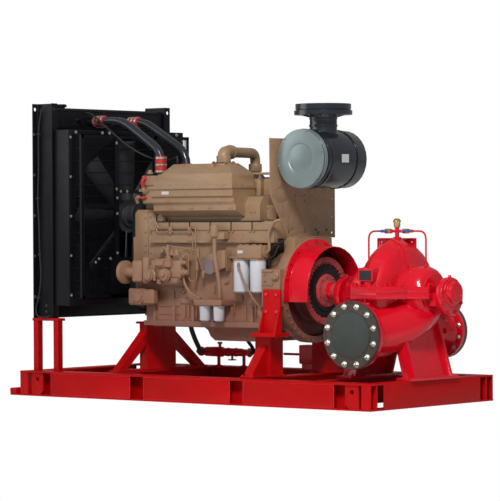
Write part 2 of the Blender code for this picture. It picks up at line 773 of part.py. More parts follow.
def oil_pan():
    """Shallow front pan and deep rear sump below one rail."""
    half = BLOCK_HALF + 0.03
    top = PAN_RAIL_Z
    rail = cuboid((PAN_FRONT, PAN_REAR), (-half, half), (top - 0.014, top))
    shallow_low = rectangle((PAN_FRONT + 0.05, PAN_REAR - 0.02), (-0.27, 0.27), top - 0.024)
    shallow = loft([shallow_low, rectangle((PAN_FRONT + 0.03, PAN_REAR - 0.01), (-0.29, 0.29), top - 0.007)])
    deep = loft([
        rectangle((-0.150, PAN_REAR - 0.03), (-0.24, 0.24), 0.436),
        rectangle((-0.185, PAN_REAR - 0.026), (-0.25, 0.25), 0.468),
        rectangle((-0.200, PAN_REAR - 0.023), (-0.26, 0.26), 0.512),
        rectangle((-0.245, PAN_REAR - 0.02), (-0.27, 0.27), top - 0.01),
    ])
    return fuse(rail, shallow, deep)


node("oil_pan", oil_pan(), TAN)


def cylinder_heads():
    """Six heads with their rocker covers on one gasket plane."""
    low = DECK_Z + SEAT
    near = COOLER_BACK + HEAD_SETBACK
    front = FIRST_CYLINDER - CYLINDER_PITCH / 2
    base = cuboid((front + 0.003, HEAD_REAR - 0.005), (near, HEAD_FAR), (low, low + GASKET_LIP))
    pieces = []
    for i in range(CYLINDERS):
        x = FIRST_CYLINDER + CYLINDER_PITCH * i
        half = CYLINDER_PITCH * 0.47
        cover = CYLINDER_PITCH * 0.43
        pieces.append(cuboid((x - half, x + half), (near + 0.003, HEAD_FAR - 0.01), (low + 0.01, HEAD_TOP), 0.006))
        foot_z = (HEAD_TOP - 0.01, HEAD_TOP + 0.015)
        pieces.append(cuboid((x - half * 0.97, x + half * 0.97), (near + 0.006, ROCKER_FAR + 0.01), foot_z))
        pieces.append(cuboid((x - cover, x + cover), (near + 0.014, ROCKER_FAR), (HEAD_TOP, ROCKER_TOP), 0.018))
    rear_x = (FIRST_CYLINDER + CYLINDER_PITCH * (CYLINDERS - 0.5) - 0.01, HEAD_REAR - 0.005)
    pieces.append(cuboid(rear_x, (near + 0.04, HEAD_FAR - 0.03), (low + 0.01, HEAD_TOP - 0.03), 0.008))
    return fuse(base, *pieces)


node("cylinder_heads", cylinder_heads(), TAN)


def aftercooler():
    """Charge air cooler in the intake housing: base, jointed body, sloped cover and outlet elbow."""
    back = COOLER_BACK
    low = SHOULDER_Z + SEAT
    first, second, third = (COOLER_NEAR + step for step in COOLER_STEPS)
    outline = [(COOLER_FOOT, low), (back, low), (back, COOLER_JOINT + 0.005), (first, COOLER_JOINT + 0.005)]
    outline += [(first, COOLER_LOW + 0.105), (second, COOLER_LOW + 0.098), (second, COOLER_LOW + 0.062)]
    outline += [(third, COOLER_LOW + 0.038), (third, COOLER_LOW), (COOLER_FOOT - 0.01, COOLER_LOW - 0.045)]
    outline += [(COOLER_FOOT, COOLER_LOW - 0.048)]
    body = prism(outline, "X", COOLER_FRONT, COOLER_REAR)
    grow = 0.012
    joint_z = (COOLER_JOINT - 0.010, COOLER_JOINT + 0.012)
    pieces = [cuboid((COOLER_FRONT - grow, COOLER_REAR + 0.006), (COOLER_NEAR - grow, back - 0.001), joint_z)]
    cover_near = COOLER_NEAR + 0.006
    shoulder_front = COOLER_FRONT + 0.095
    pieces.append(loft([
        rectangle((COOLER_FRONT + 0.024, COOLER_REAR - 0.010), (cover_near, back - 0.002), COOLER_JOINT),
        rectangle((COOLER_FRONT + 0.026, COOLER_REAR - 0.014), (cover_near + 0.003, back - 0.002), COOLER_SHOULDER - 0.024),
        rectangle((shoulder_front, COOLER_REAR - 0.018), (cover_near + 0.006, back - 0.002), COOLER_SHOULDER),
        rectangle((shoulder_front - 0.010, COOLER_REAR - 0.160), (COOLER_RIDGE, back - 0.002), COOLER_TOP),
    ]))
    elbow_x = (COOLER_REAR - 0.03, COOLER_REAR + 0.140)
    elbow = [(COOLER_FOOT, low), (back - 0.002, low), (back - 0.002, COOLER_LOW + 0.100)]
    elbow += [(COOLER_FOOT + 0.04, COOLER_LOW + 0.098), (COOLER_FOOT, COOLER_LOW + 0.037)]
    pieces.append(prism(elbow, "X", *elbow_x))
    inlet_x = (elbow_x[1] - 0.08, elbow_x[1] + 0.091)
    pieces.append(cuboid(inlet_x, (-0.210, back - 0.003), (low + 0.004, COOLER_LOW + 0.035), 0.004))
    boss_x = (CROSSOVER_START[0] - 0.062, CROSSOVER_START[0] + 0.062)
    boss_y = (CROSSOVER_START[1] - 0.062, CROSSOVER_START[1] + 0.055)
    pieces.append(cuboid(boss_x, boss_y, (COOLER_SHOULDER + 0.01, COOLER_TOP + CROSSOVER_BOSS)))
    return fuse(body, *pieces)


COOLER_RIDGE = -0.270
COOLER_FOOT = -0.295
CROSSOVER_START = (-0.055, -0.240)
CROSSOVER_BOSS = 0.006
CROSSOVER_RADIUS = 0.039
CROSSOVER_Z = 1.842
node("aftercooler_housing", aftercooler(), TAN)

TURBO_X = -0.190
TURBO_Y = 0.295
TURBO_Z = 1.600
TURBO_OUTLET_Z = 1.700


def crossover_pipe():
    """Charge air pipe over the heads from the turbocharger, with its elbow collar and sleeve."""
    start = Vector((*CROSSOVER_START, COOLER_TOP + CROSSOVER_BOSS + SEAT))
    end = Vector((TURBO_X, TURBO_Y, TURBO_OUTLET_Z + SEAT))
    route = [start, (start.x, start.y, CROSSOVER_Z), (end.x, end.y, CROSSOVER_Z), end]
    body = pipe(rounded(route, 0.085, 5), CROSSOVER_RADIUS, ROUND_SMALL)
    foot = disc("Z", (start.x, start.y, 0), 0.055, start.z, start.z + 0.014, ROUND_SMALL, 0.1)
    elbow = turned([(start.z + 0.01, 0.052), (CROSSOVER_Z - 0.03, 0.056)], "Z", (start.x, start.y, 0), ROUND_SMALL, 0.1)
    sleeve = disc("Z", (end.x, end.y, 0), 0.051, end.z + 0.002, end.z + 0.060, ROUND_SMALL, 0.1)
    return fuse(body, foot, elbow, sleeve)


node("crossover_pipe", crossover_pipe(), TAN)


def exhaust_side():
    """Manifold along the far side of the heads and the turbocharger on it."""
    y = HEAD_FAR - 0.01 + SEAT
    log = disc("X", (0, y + 0.07, 1.440), 0.052, -0.66, 0.40, ROUND_SMALL)
    pieces = []
    for i in range(CYLINDERS):
        x = FIRST_CYLINDER + CYLINDER_PITCH * i
        pieces.append(disc("Y", (x, y, 1.440), 0.040, 0.0, 0.08, ROUND_FINE))
    pieces.append(disc("Z", (TURBO_X - 0.22, TURBO_Y - 0.005, 1.44), 0.045, 0.0, 0.10, ROUND_FINE))
    turbine = [(-0.27, 0.06), (-0.26, 0.09), (-0.17, 0.10), (-0.14, 0.055), (-0.05, 0.055)]
    turbine += [(-0.03, 0.10), (0.03, 0.10), (0.05, 0.06), (0.09, 0.055)]
    pieces.append(turned(turbine, "X", (TURBO_X, TURBO_Y, TURBO_Z), ROUND_SMALL))
    pieces.append(disc("Z", (TURBO_X, TURBO_Y, 0), 0.045, TURBO_Z, TURBO_OUTLET_Z, ROUND_FINE))
    return fuse(log, *pieces)


node("exhaust_manifold_turbo", exhaust_side(), STEEL)


PAD_FACE = HOUSING_RADIUS + 0.030
TOP_PAD_Z = SHAFT_Z + HOUSING_RADIUS + 0.003
SIDE_PAD_X = (0.442, 0.612)


def flywheel_housing():
    """Bell round the flywheel with side pads, a top pad and an open rear face."""
    waist = HOUSING_RADIUS - 0.075
    bell_profile = [(BLOCK_REAR, waist - 0.02), (BLOCK_REAR + 0.04, waist), (HOUSING_FLANGE - 0.006, waist)]
    bell_profile += [(HOUSING_FLANGE, HOUSING_RADIUS), (HOUSING_FACE, HOUSING_RADIUS)]
    bell = turned(bell_profile, "X", (0, 0, SHAFT_Z), ROUND_LARGE)
    pads = []
    for side in (-1, 1):
        pads.append(cuboid(SIDE_PAD_X, (side * 0.25, side * PAD_FACE), (0.70, 0.975), 0.004))
    pads.append(cuboid((0.503, 0.600), (-0.225, 0.225), (1.02, TOP_PAD_Z), 0.003))
    bore = disc("X", (0, 0, SHAFT_Z), HOUSING_BORE, HOUSING_FACE - HOUSING_RECESS, HOUSING_FACE + 0.01, ROUND_LARGE)
    return carve(fuse(bell, *pads), bore)


node("flywheel_housing", flywheel_housing(), TAN)

# Rotating drive
flywheel_front = HOUSING_FACE - HOUSING_RECESS + RUNNING_GAP + 0.004
COUPLING_RADIUS = 0.220
COUPLING_X = 0.680
COUPLING_TEETH = 20
coupling_face = COUPLING_X + 0.030


def flywheel():
    """Flywheel disc with the toothed outer ring of the flexible coupling bolted on."""
    disc_radius = HOUSING_BORE - RUNNING_GAP - 0.004
    wheel = [(flywheel_front, disc_radius), (HOUSING_FACE - 0.02, disc_radius), (HOUSING_FACE - 0.02, COUPLING_RADIUS + 0.02)]
    wheel += [(HOUSING_FACE + 0.005, COUPLING_RADIUS), (coupling_face, COUPLING_RADIUS)]
    body = turned(wheel, "X", (0, 0, SHAFT_Z), ROUND_LARGE)
    inside = ring_gear_outline(COUPLING_RADIUS - 0.034, COUPLING_RADIUS - 0.022, SEAT)
    pocket = prism(inside, "X", COUPLING_X - 0.03, coupling_face + 0.01)
    return carve(body, pocket)


def ring_gear_outline(low, high, gap):
    """Return a toothed outline about the shaft axis, grown by gap."""
    points = []
    for i in range(COUPLING_TEETH):
        for part, radius in ((0.0, low), (0.2, high), (0.5, high), (0.7, low)):
            angle = 2 * pi * (i + part) / COUPLING_TEETH
            points.append(((radius + gap) * cos(angle), SHAFT_Z + (radius + gap) * sin(angle)))
    return points


node("flywheel", flywheel(), RED, drive_axis)

hub_bore = 0.075
element = prism(ring_gear_outline(COUPLING_RADIUS - 0.034, COUPLING_RADIUS - 0.022, 0.0), "X", COUPLING_X - 0.03 + SEAT, coupling_face - 0.004)
element_bore = disc("X", (0, 0, SHAFT_Z), hub_bore + SEAT, COUPLING_X - 0.05, coupling_face + 0.02, ROUND_MEDIUM)
node("coupling_element", carve(element, element_bore), RUBBER, drive_axis)

hub_profile = [(COUPLING_X - 0.03 + 2 * SEAT, hub_bore), (coupling_face - 0.004 + SEAT, hub_bore), (coupling_face - 0.004 + SEAT, 0.125)]
hub_profile += [(coupling_face + 0.014, 0.125), (coupling_face + 0.014, 0.062), (0.80, 0.062), (0.80, SHAFT_RADIUS)]
hub_profile += [(PUMP_END - SHAFT_SHORT, SHAFT_RADIUS)]
node("pump_shaft", turned(hub_profile, "X", (0, 0, SHAFT_Z), ROUND_MEDIUM), STEEL, drive_axis)


def coupling_guard():
    """Half round hood with straight skirts, on a bolted half ring."""
    low_z = SHAFT_Z - HOOD_DROP
    ring_face = HOUSING_FACE + SEAT

    def arch(radius, bottom):
        points = [(radius, bottom)]
        for i in range(17):
            angle = pi * i / 16
            points.append((radius * cos(angle), SHAFT_Z + radius * sin(angle)))
        return points + [(-radius, bottom)]

    flange = prism(arch(GUARD_RING_RADIUS - 0.004, low_z), "X", ring_face, ring_face + 0.008)
    hood = prism(arch(HOOD_RADIUS, low_z), "X", ring_face + 0.004, HOOD_REAR)
    hollow = prism(arch(HOOD_RADIUS - HOOD_WALL, low_z - 0.02), "X", ring_face - 0.02, HOOD_REAR + 0.02)
    return carve(fuse(flange, hood), hollow)


node("coupling_guard", coupling_guard(), RED)


# Engine supports
def post_with_webs(x, y, low, high, size):
    """Square post, its foot plate below and a head plate above."""
    half = size / 2
    post = cuboid((x - half, x + half), (y - half, y + half), (low + 0.004, high - 0.004))
    foot = cuboid((x - half - 0.02, x + half + 0.02), (y - half - 0.015, y + half + 0.015), (low, low + 0.012))
    head = cuboid((x - half - 0.012, x + half + 0.008), (y - half - 0.012, y + half + 0.012), (high - 0.014, high))
    return fuse(post, foot, head)


POST_SPAN = (-0.186, 0.140)


def front_support():
    """Wide post, a head plate, a rubber mount seat and braces on one cross member."""
    low = BEAM_HEIGHT + SEAT
    high = 0.562
    x = FRONT_SUPPORT_X
    head = cuboid((x - 0.055, x + 0.060), (POST_SPAN[0] - 0.015, POST_SPAN[1] + 0.015), (high - 0.016, high))
    foot = cuboid((x - 0.048, x + 0.048), (-0.52, 0.52), (low, low + 0.012))
    pieces = [foot, cuboid((x - 0.030, x + 0.045), POST_SPAN, (low + 0.006, high - 0.008))]
    for side, edge in zip((-1, 1), POST_SPAN):
        brace = [(edge - side * 0.02, high - 0.155), (edge - side * 0.02, high - 0.055)]
        brace += [(side * 0.51, low + 0.006), (side * 0.42, low + 0.006)]
        pieces.append(prism(brace, "X", x - 0.028, x + 0.043))
    arm_low = GEAR_LOW - SEAT
    pieces.append(cuboid((x - 0.03, x + 0.055), (-0.095, 0.095), (high - 0.004, 0.655)))
    pieces.append(cuboid((x - 0.035, x + 0.105), (-0.10, 0.10), (0.640, arm_low), 0.003))
    return fuse(head, *pieces)


node("front_support", front_support(), RED)

REAR_POST_TOP = 0.492
REAR_POST_Y = 0.335
REAR_POST_SIZE = 0.145


def rear_support(side):
    """Square post with an outward brace and the bolted bracket to the flywheel housing."""
    x = REAR_SUPPORT_X
    low = BEAM_HEIGHT + SEAT
    high = REAR_POST_TOP
    post = post_with_webs(x, side * REAR_POST_Y, low, high, REAR_POST_SIZE)
    inner = side * (REAR_POST_Y + 0.05)
    brace = [(inner, high - 0.14), (inner, high - 0.04), (side * 0.575, low + 0.03), (side * 0.575, low), (inner, low)]
    pieces = [prism(brace, "X", x - 0.040, x + 0.040)]
    pieces.append(cuboid((x - 0.06, x + 0.06), (inner, side * 0.60), (low, low + 0.012)))
    face = side * (PAD_FACE + SEAT)
    plate_x = (SIDE_PAD_X[0] + 0.028, SIDE_PAD_X[1] + 0.018)
    back = face + side * 0.018
    pieces.append(cuboid(plate_x, (face, back), (high - 0.004, 0.829)))
    base_y = (side * REAR_POST_Y, side * 0.505)
    base_x = (plate_x[0] - 0.060, plate_x[1] + 0.012)
    pieces.append(cuboid(base_x, base_y, (high - 0.006, high + 0.022)))
    for rib_x in (plate_x[0], plate_x[1] - 0.012):
        rib = [(back - side * 0.004, high + 0.016), (side * 0.497, high + 0.016), (back - side * 0.004, 0.70)]
        pieces.append(prism(rib, "X", rib_x, rib_x + 0.012))
    return fuse(post, *pieces)


node("rear_support_near", rear_support(-1), RED)
node("rear_support_far", rear_support(1), RED)


# Engine fittings on the filter side
side_face = -BLOCK_HALF - SEAT
FILTER_RADIUS = 0.0595
FILTER_LOW = 0.800
FILTER_HIGH = 1.045
filter_y = side_face - FILTER_RADIUS - 0.013
FILTER_X = (0.2215, 0.3765)

oil_head_y = (-0.430, side_face)
oil_head = cuboid((0.205, 0.440), oil_head_y, (FILTER_HIGH - 0.004, 1.150), 0.016)
oil_canisters = []
for x in FILTER_X:
    profile = [(FILTER_LOW, 0.030), (FILTER_LOW + 0.006, FILTER_RADIUS - 0.006), (FILTER_LOW + 0.016, FILTER_RADIUS)]
    profile += [(FILTER_HIGH - 0.012, FILTER_RADIUS), (FILTER_HIGH, FILTER_RADIUS - 0.006)]
    oil_canisters.append(turned(profile, "Z", (x, filter_y, 0), ROUND_MEDIUM))
node("oil_filters", fuse(oil_head, *oil_canisters), WHITE)

FUEL_LOW = 0.585
FUEL_HIGH = 0.705
FUEL_HEAD_TOP = 0.748
FUEL_X = (-0.113, 0.020)
fuel_y = -0.395
head = cuboid((-0.175, 0.085), (-0.45, side_face), (FUEL_HIGH - 0.004, FUEL_HEAD_TOP), 0.006)
canisters = []
for x in FUEL_X:
    profile = [(FUEL_LOW, 0.020), (FUEL_LOW + 0.008, 0.040), (FUEL_HIGH, 0.043)]
    canisters.append(turned(profile, "Z", (x, fuel_y, 0), ROUND_SMALL))
node("fuel_filters", fuse(head, *canisters), GREY)

pump_z = 0.965
pump_body = cuboid((-0.62, -0.33), (-0.43, side_face), (pump_z - 0.065, pump_z + 0.070), 0.010)
governor = disc("X", (0, -0.378, pump_z), 0.040, -0.68, -0.58, ROUND_SMALL)
gear_case = cuboid((BLOCK_FRONT + SEAT, -0.645), (-0.44, side_face), (pump_z - 0.105, pump_z + 0.095), 0.012)
cover = disc("X", (0, -0.385, pump_z - 0.080), 0.040, -0.56, -0.35, ROUND_SMALL)
link = cuboid((-0.49, -0.45), (-0.41, -0.36), (pump_z + 0.06, pump_z + 0.11), 0.006)
node("fuel_pump", fuse(pump_body, governor, gear_case, cover, link), TAN)

BREATHER_X = -0.0135
BREATHER_Y = -0.400
tube_end = (BREATHER_X + 0.047, BREATHER_Y, FUEL_HEAD_TOP + SEAT)
breather_path = [(BREATHER_X, BREATHER_Y, 1.24), (BREATHER_X, BREATHER_Y, 1.06), (BREATHER_X + 0.030, BREATHER_Y, 0.93)]
breather_path += [(tube_end[0], BREATHER_Y, 0.85), tube_end]
breather_tube = pipe(rounded(breather_path, 0.06), 0.016, ROUND_FINE)
can_profile = [(1.200, 0.018), (1.215, 0.034), (1.290, 0.034), (1.303, 0.022)]
breather_can = turned(can_profile, "Z", (BREATHER_X, BREATHER_Y, 0), ROUND_SMALL)
breather_arm = cuboid((BREATHER_X, BREATHER_X + 0.085), (BREATHER_Y, -BLOCK_HALF - 0.035 - SEAT), (1.19, 1.245), 0.006)
node("breather", fuse(breather_tube, breather_can, breather_arm), GREY)

control = [(-0.165, 1.055), (-0.140, 0.948), (-0.075, 0.935), (0.060, 0.985), (0.060, 1.112), (0.010, 1.112)]
node("control_box", prism(control, "Y", -0.372, side_face), GREY)

line_y = beam_y - 0.047
line_z = 0.302
legs = []
for x in (-0.836, -0.581):
    legs.append(cuboid((x - 0.010, x + 0.010), (line_y - 0.01, line_y + 0.01), (BEAM_HEIGHT + SEAT, line_z)))
heater = disc("X", (0, line_y, line_z), 0.026, -1.030, -0.505, ROUND_FINE)
collar = disc("X", (0, line_y, line_z), 0.036, -0.860, -0.800, ROUND_FINE)
node("heater_line", fuse(heater, collar, *legs), RED)

BOX_LENGTH = 0.250
BOX_DEPTH = 0.115
BOX_HEIGHT = 0.145
BOX_FOOT = 0.041
box_middle = 0.130
box_y = cross_reach - 0.020
box_low = BEAM_HEIGHT + SEAT
box_x = (box_middle - BOX_LENGTH / 2, box_middle + BOX_LENGTH / 2)
box_bottom = box_low + BOX_FOOT
junction = cuboid(box_x, (box_y, box_y + BOX_DEPTH), (box_bottom, box_bottom + BOX_HEIGHT), 0.006)
plinth = cuboid((box_x[0] + 0.02, box_x[1] - 0.02), (box_y + 0.012, box_y + BOX_DEPTH - 0.012), (box_low, box_bottom + 0.01))
rod = disc("X", (0, box_y + BOX_DEPTH / 2, box_bottom + 0.07), 0.010, box_x[0] - 0.19, box_x[0] + 0.01, ROUND_FINE)
node("junction_box", fuse(junction, plinth, rod), RED)


# Air intake
def bracket_plate():
    """Upright plate on the housing's top pad that carries the air cleaner."""
    x0 = PLATE_X - PLATE_THICK
    low = TOP_PAD_Z + SEAT
    outline = [(-0.385, 1.93), (-0.38, 1.527), (-0.185, low), (0.385, low), (0.385, 1.93)]
    plate = prism(outline, "X", x0, PLATE_X)
    foot = cuboid((PLATE_X - 0.004, 0.590), (-0.185, 0.215), (low, low + 0.012))
    holes = []
    for y in (-0.13, 0.03, 0.15, 0.28):
        holes.append(disc("X", (PLATE_X, y, 1.26), 0.012, -0.03, 0.03, ROUND_FINE))
    return carve(fuse(plate, foot), *holes)


node("cleaner_plate", bracket_plate(), TAN)


def air_cleaner():
    """Canister lying across the set, its foot saddle and its vertical inlet neck."""
    r = CLEANER_RADIUS
    profile = [(CLEANER_NEAR + 0.02, r - 0.004), (CLEANER_FAR - 0.05, r - 0.004), (CLEANER_FAR - 0.02, r - 0.03), (CLEANER_FAR, r * 0.55)]
    body = turned(profile, "Y", (CLEANER_X, 0, CLEANER_Z), ROUND_LARGE)
    neck = disc("Z", (CLEANER_X, INLET_Y, 0), INLET_RADIUS, CLEANER_Z, RAIN_CAP_LOW + 0.01, ROUND_MEDIUM)
    rim = RAIN_CAP_RADIUS
    hat = [(RAIN_CAP_LOW, rim), (RAIN_CAP_LOW + 0.030, rim), (RAIN_CAP_LOW + 0.036, rim - 0.015)]
    hat += [(RAIN_CAP_HIGH - 0.02, rim - 0.025), (RAIN_CAP_HIGH, rim - 0.05)]
    rain_cap = turned(hat, "Z", (CLEANER_X, INLET_Y, 0), ROUND_LARGE)
    saddle = cuboid((PLATE_X + SEAT, CLEANER_X - r * 0.6), (-0.20, 0.08), (CLEANER_Z - 0.12, CLEANER_Z + 0.12))
    outlet = disc("X", (0, 0.10, CLEANER_Z), 0.075, PLATE_X + SEAT, CLEANER_X, ROUND_SMALL)
    return fuse(body, neck, rain_cap, saddle, outlet)


node("air_cleaner", air_cleaner(), CLEANER)

cap_profile = [(CLEANER_NEAR - 0.020, 0.090), (CLEANER_NEAR - 0.020, 0.100), (CLEANER_NEAR - 0.008, 0.110), (CLEANER_NEAR + 0.004, 0.190), (CLEANER_NEAR - 0.004, CLEANER_RADIUS), (CLEANER_NEAR + 0.02 - SEAT, CLEANER_RADIUS)]
node("air_cleaner_cover", turned(cap_profile, "Y", (CLEANER_X, 0, CLEANER_Z), ROUND_LARGE), SILVER)

duct_path = rounded([(PLATE_X - PLATE_THICK - SEAT, 0.10, CLEANER_Z), (0.36, 0.10, CLEANER_Z), (0.32, TURBO_Y, TURBO_Z), (TURBO_X + 0.09 + SEAT, TURBO_Y, TURBO_Z)], 0.09)
node("intake_duct", pipe(duct_path, 0.060, ROUND_FINE), BLACK)


# Coolant pipes
NEAR_LANDING_X = -0.680
FAR_LANDING_X = -0.765
NEAR_LANDING_Z = 1.690
FAR_LANDING_Z = 1.640
PIPE_FALL = 0.245


def thermostat_housing():
    """Water outlet over the gear case, with a stub for each coolant pipe."""
    low = GEAR_HIGH + SEAT
    front = GEAR_FRONT + 0.030
    rear = FIRST_CYLINDER - CYLINDER_PITCH / 2 - 0.006
    body = cuboid((front, rear), (-0.215, 0.215), (low, 1.560), 0.010)
    crown = cuboid((front + 0.02, rear - 0.005), (0.06, 0.21), (1.54, FAR_LANDING_Z - 0.02), 0.010)
    pieces = [crown]
    near_x = (front + 0.02, NEAR_LANDING_X + 0.027)
    pieces.append(cuboid(near_x, (PIPE_NEAR_Y - 0.045, COOLER_BACK - 0.01), (1.595, NEAR_LANDING_Z - 0.015), 0.008))
    pieces.append(cuboid((front + 0.015, rear - 0.004), (-0.270, -0.12), (1.46, 1.62), 0.010))
    stub = PIPE_RADIUS - 0.001
    pieces.append(disc("Z", (NEAR_LANDING_X, PIPE_NEAR_Y, 0), stub - 0.008, 1.61, NEAR_LANDING_Z, ROUND_FINE))
    pieces.append(disc("Z", (FAR_LANDING_X, PIPE_FAR_Y, 0), stub, 1.60, FAR_LANDING_Z, ROUND_FINE))
    return fuse(body, *pieces)


node("thermostat_housing", thermostat_housing(), TAN)


def coolant_pipe(y, landing, knee, low):
    """Pipe from the top tank down to the thermostat housing, with its hose cuffs."""
    start_x = tank_x[1] + 0.05 + SEAT
    high = PIPE_HIGH_Z
    route = [(start_x, y, high), (knee, y, high), (landing, y, high - PIPE_FALL), (landing, y, low + SEAT)]
    body = pipe(rounded(route, 0.10, 4), PIPE_RADIUS, ROUND_FINE)
    cuff = PIPE_RADIUS + 0.009
    cuffs = [disc("X", (0, y, high - 0.001), cuff, start_x + 0.004, start_x + 0.105, ROUND_FINE, 0.2)]
    for top, bottom in ((low + 0.13, low + 0.075), (low + 0.058, low + 0.004)):
        cuffs.append(disc("Z", (landing, y, 0), cuff, bottom, top, ROUND_FINE, 0.2))
    return fuse(body, *cuffs)


node("coolant_pipe_near", coolant_pipe(PIPE_NEAR_Y, NEAR_LANDING_X, -1.065, NEAR_LANDING_Z), GREY)
node("coolant_pipe_far", coolant_pipe(PIPE_FAR_Y, FAR_LANDING_X, -1.190, FAR_LANDING_Z), GREY)


# Pump
def nozzle(side, z, face, radius, flange_radius):
    """Branch from the casing, flared to its bolted companion flange."""
    inner = abs(face) - 2 * FLANGE_PLATE
    profile = [(0.12, radius), (inner - 0.07, radius), (inner - 0.02, radius + 0.012), (inner, radius + 0.03)]
    profile += [(inner, flange_radius), (inner + FLANGE_PLATE, flange_radius)]
    if side < 0:
        profile = [(-along, size) for along, size in reversed(profile)]
    return turned(profile, "Y", (PUMP_X, 0, z), ROUND_LARGE)


def casing_profile():
    """Return the turned outline along the shaft: volute, stuffing boxes and their end faces."""
    shares = [(0.0, 1.0), (0.045, 0.943), (0.080, 0.880), (0.101, 0.825), (0.115, 0.73), (0.124, 0.57)]
    shares += [(0.134, 0.487), (0.265, BOX_SHARE), (0.300, 0.445), (0.320, 0.400), (0.324, 0.355), (CASING_END, 0.350)]
    right = [(along, share * PUMP_CROWN) for along, share in shares]
    left = [(-along, size) for along, size in reversed(right[1:])]
    return [(PUMP_X + along, size) for along, size in left + right]


def half_space(z_low, z_high):
    return cuboid((0.5, 2.2), (-1.0, 1.0), (z_low, z_high))


def split_flange(low, high):
    """Joint flange: bulged round the volute and straight along the stuffing boxes."""
    near = [(0.375, 0.130), (0.345, 0.165), (0.235, 0.195), (0.185, 0.330), (0.115, 0.405)]
    right = near + [(-along, size) for along, size in reversed(near)]
    outline = right + [(-along, -size) for along, size in right]
    return prism([(PUMP_X + along, y) for along, y in outline], "Z", low, high)


BOX_SHARE = 0.480
CASING_END = 0.336
SPLIT_Z = SHAFT_Z
ARM_END = 0.4285
ARM_HALF = 0.085
ARM_DEPTH = 0.096
GLAND_POCKET = 0.064
SEAL_TUBE_X = 0.255


def upper_casing():
    """Top half: crowned volute, stuffing box domes, seam rib, lifting plate and plate boss."""
    shell = turned(casing_profile(), "X", (0, 0, SHAFT_Z), ROUND_LARGE)
    shell = carve(shell, half_space(-1.0, SPLIT_Z + SEAT))
    pieces = [split_flange(SPLIT_Z + SEAT, SPLIT_Z + SPLIT_FLANGE)]
    crown = SHAFT_Z + PUMP_CROWN
    rib = [(0.0, crown - 0.06), (0.0, crown + 0.001), (0.048, crown - 0.017), (0.086, crown - 0.042)]
    rib += [(0.109, crown - 0.064), (0.124, crown - 0.102), (0.134, crown - 0.165), (0.140, crown - 0.20), (0.10, crown - 0.20)]
    pieces.append(prism([(PUMP_X + along, z) for along, z in rib], "Y", -0.058, -0.044))
    lug_x = (PUMP_X - 0.235, PUMP_X + 0.105)
    lug = cuboid(lug_x, (0.075, 0.093), (0.95, crown + 0.001))
    holes = [disc("Y", (x, 0.08, crown - 0.028), 0.009, -0.03, 0.03, ROUND_FINE) for x in (lug_x[0] + 0.035, lug_x[1] - 0.035)]
    pieces.append(carve(lug, *holes))
    pieces.append(disc("Z", (PUMP_X, 0, 0), 0.030, crown - 0.05, crown + CROWN_BOSS, ROUND_SMALL))
    pieces.append(cuboid((PUMP_X - 0.066, PUMP_X + 0.066), (-0.385, -0.30), (0.893, 0.990), 0.005))
    bore = disc("X", (0, 0, SHAFT_Z), SHAFT_RADIUS + RUNNING_GAP, 0.9, 1.85, ROUND_MEDIUM)
    return carve(fuse(shell, *pieces), bore)


def oval(y, half_x, half_z, middle_z):
    """Return a ring of points round one station of the suction branch."""
    ring_points = []
    for i in range(ROUND_MEDIUM):
        angle = 2 * pi * (i + 0.5) / ROUND_MEDIUM
        ring_points.append((PUMP_X + half_x * cos(angle), y, middle_z + half_z * sin(angle)))
    return ring_points


def suction_passage():
    """Scooped branch that swells from the flange to both stuffing boxes."""
    z = SUCTION_Z
    stations = [(-0.485, 0.172, 0.172, z), (-0.40, 0.186, 0.177, z + 0.003), (-0.30, 0.238, 0.194, z + 0.016)]
    stations += [(-0.18, 0.308, 0.204, z + 0.060), (-0.05, 0.345, 0.186, z + 0.110), (0.10, 0.305, 0.155, z + 0.138)]
    stations.append((0.22, 0.200, 0.115, z + 0.144))
    return loft([oval(*station) for station in stations])


def casing_foot(end):
    """Slanted legs and web on a base bar that is bolted to the skid."""
    low = BEAM_HEIGHT + SEAT
    x = PUMP_X
    base_x = (x + end * 0.200, x + end * 0.335)
    pieces = [cuboid(base_x, (-0.29, 0.29), (low, low + 0.022))]
    leg = [(0.10, 0.62), (0.20, 0.62), (0.325, low + 0.01), (0.215, low + 0.01)]
    outline = [(x + end * along, z) for along, z in leg]
    for side in (-1, 1):
        pieces.append(prism(outline, "Y", side * 0.205, side * 0.230))
    web_top = rectangle(sorted((x + end * 0.150, x + end * 0.172)), (-0.215, 0.215), 0.60)
    web_low = rectangle(sorted((x + end * 0.262, x + end * 0.284)), (-0.215, 0.215), low + 0.01)
    pieces.append(loft([web_low, web_top]))
    return pieces


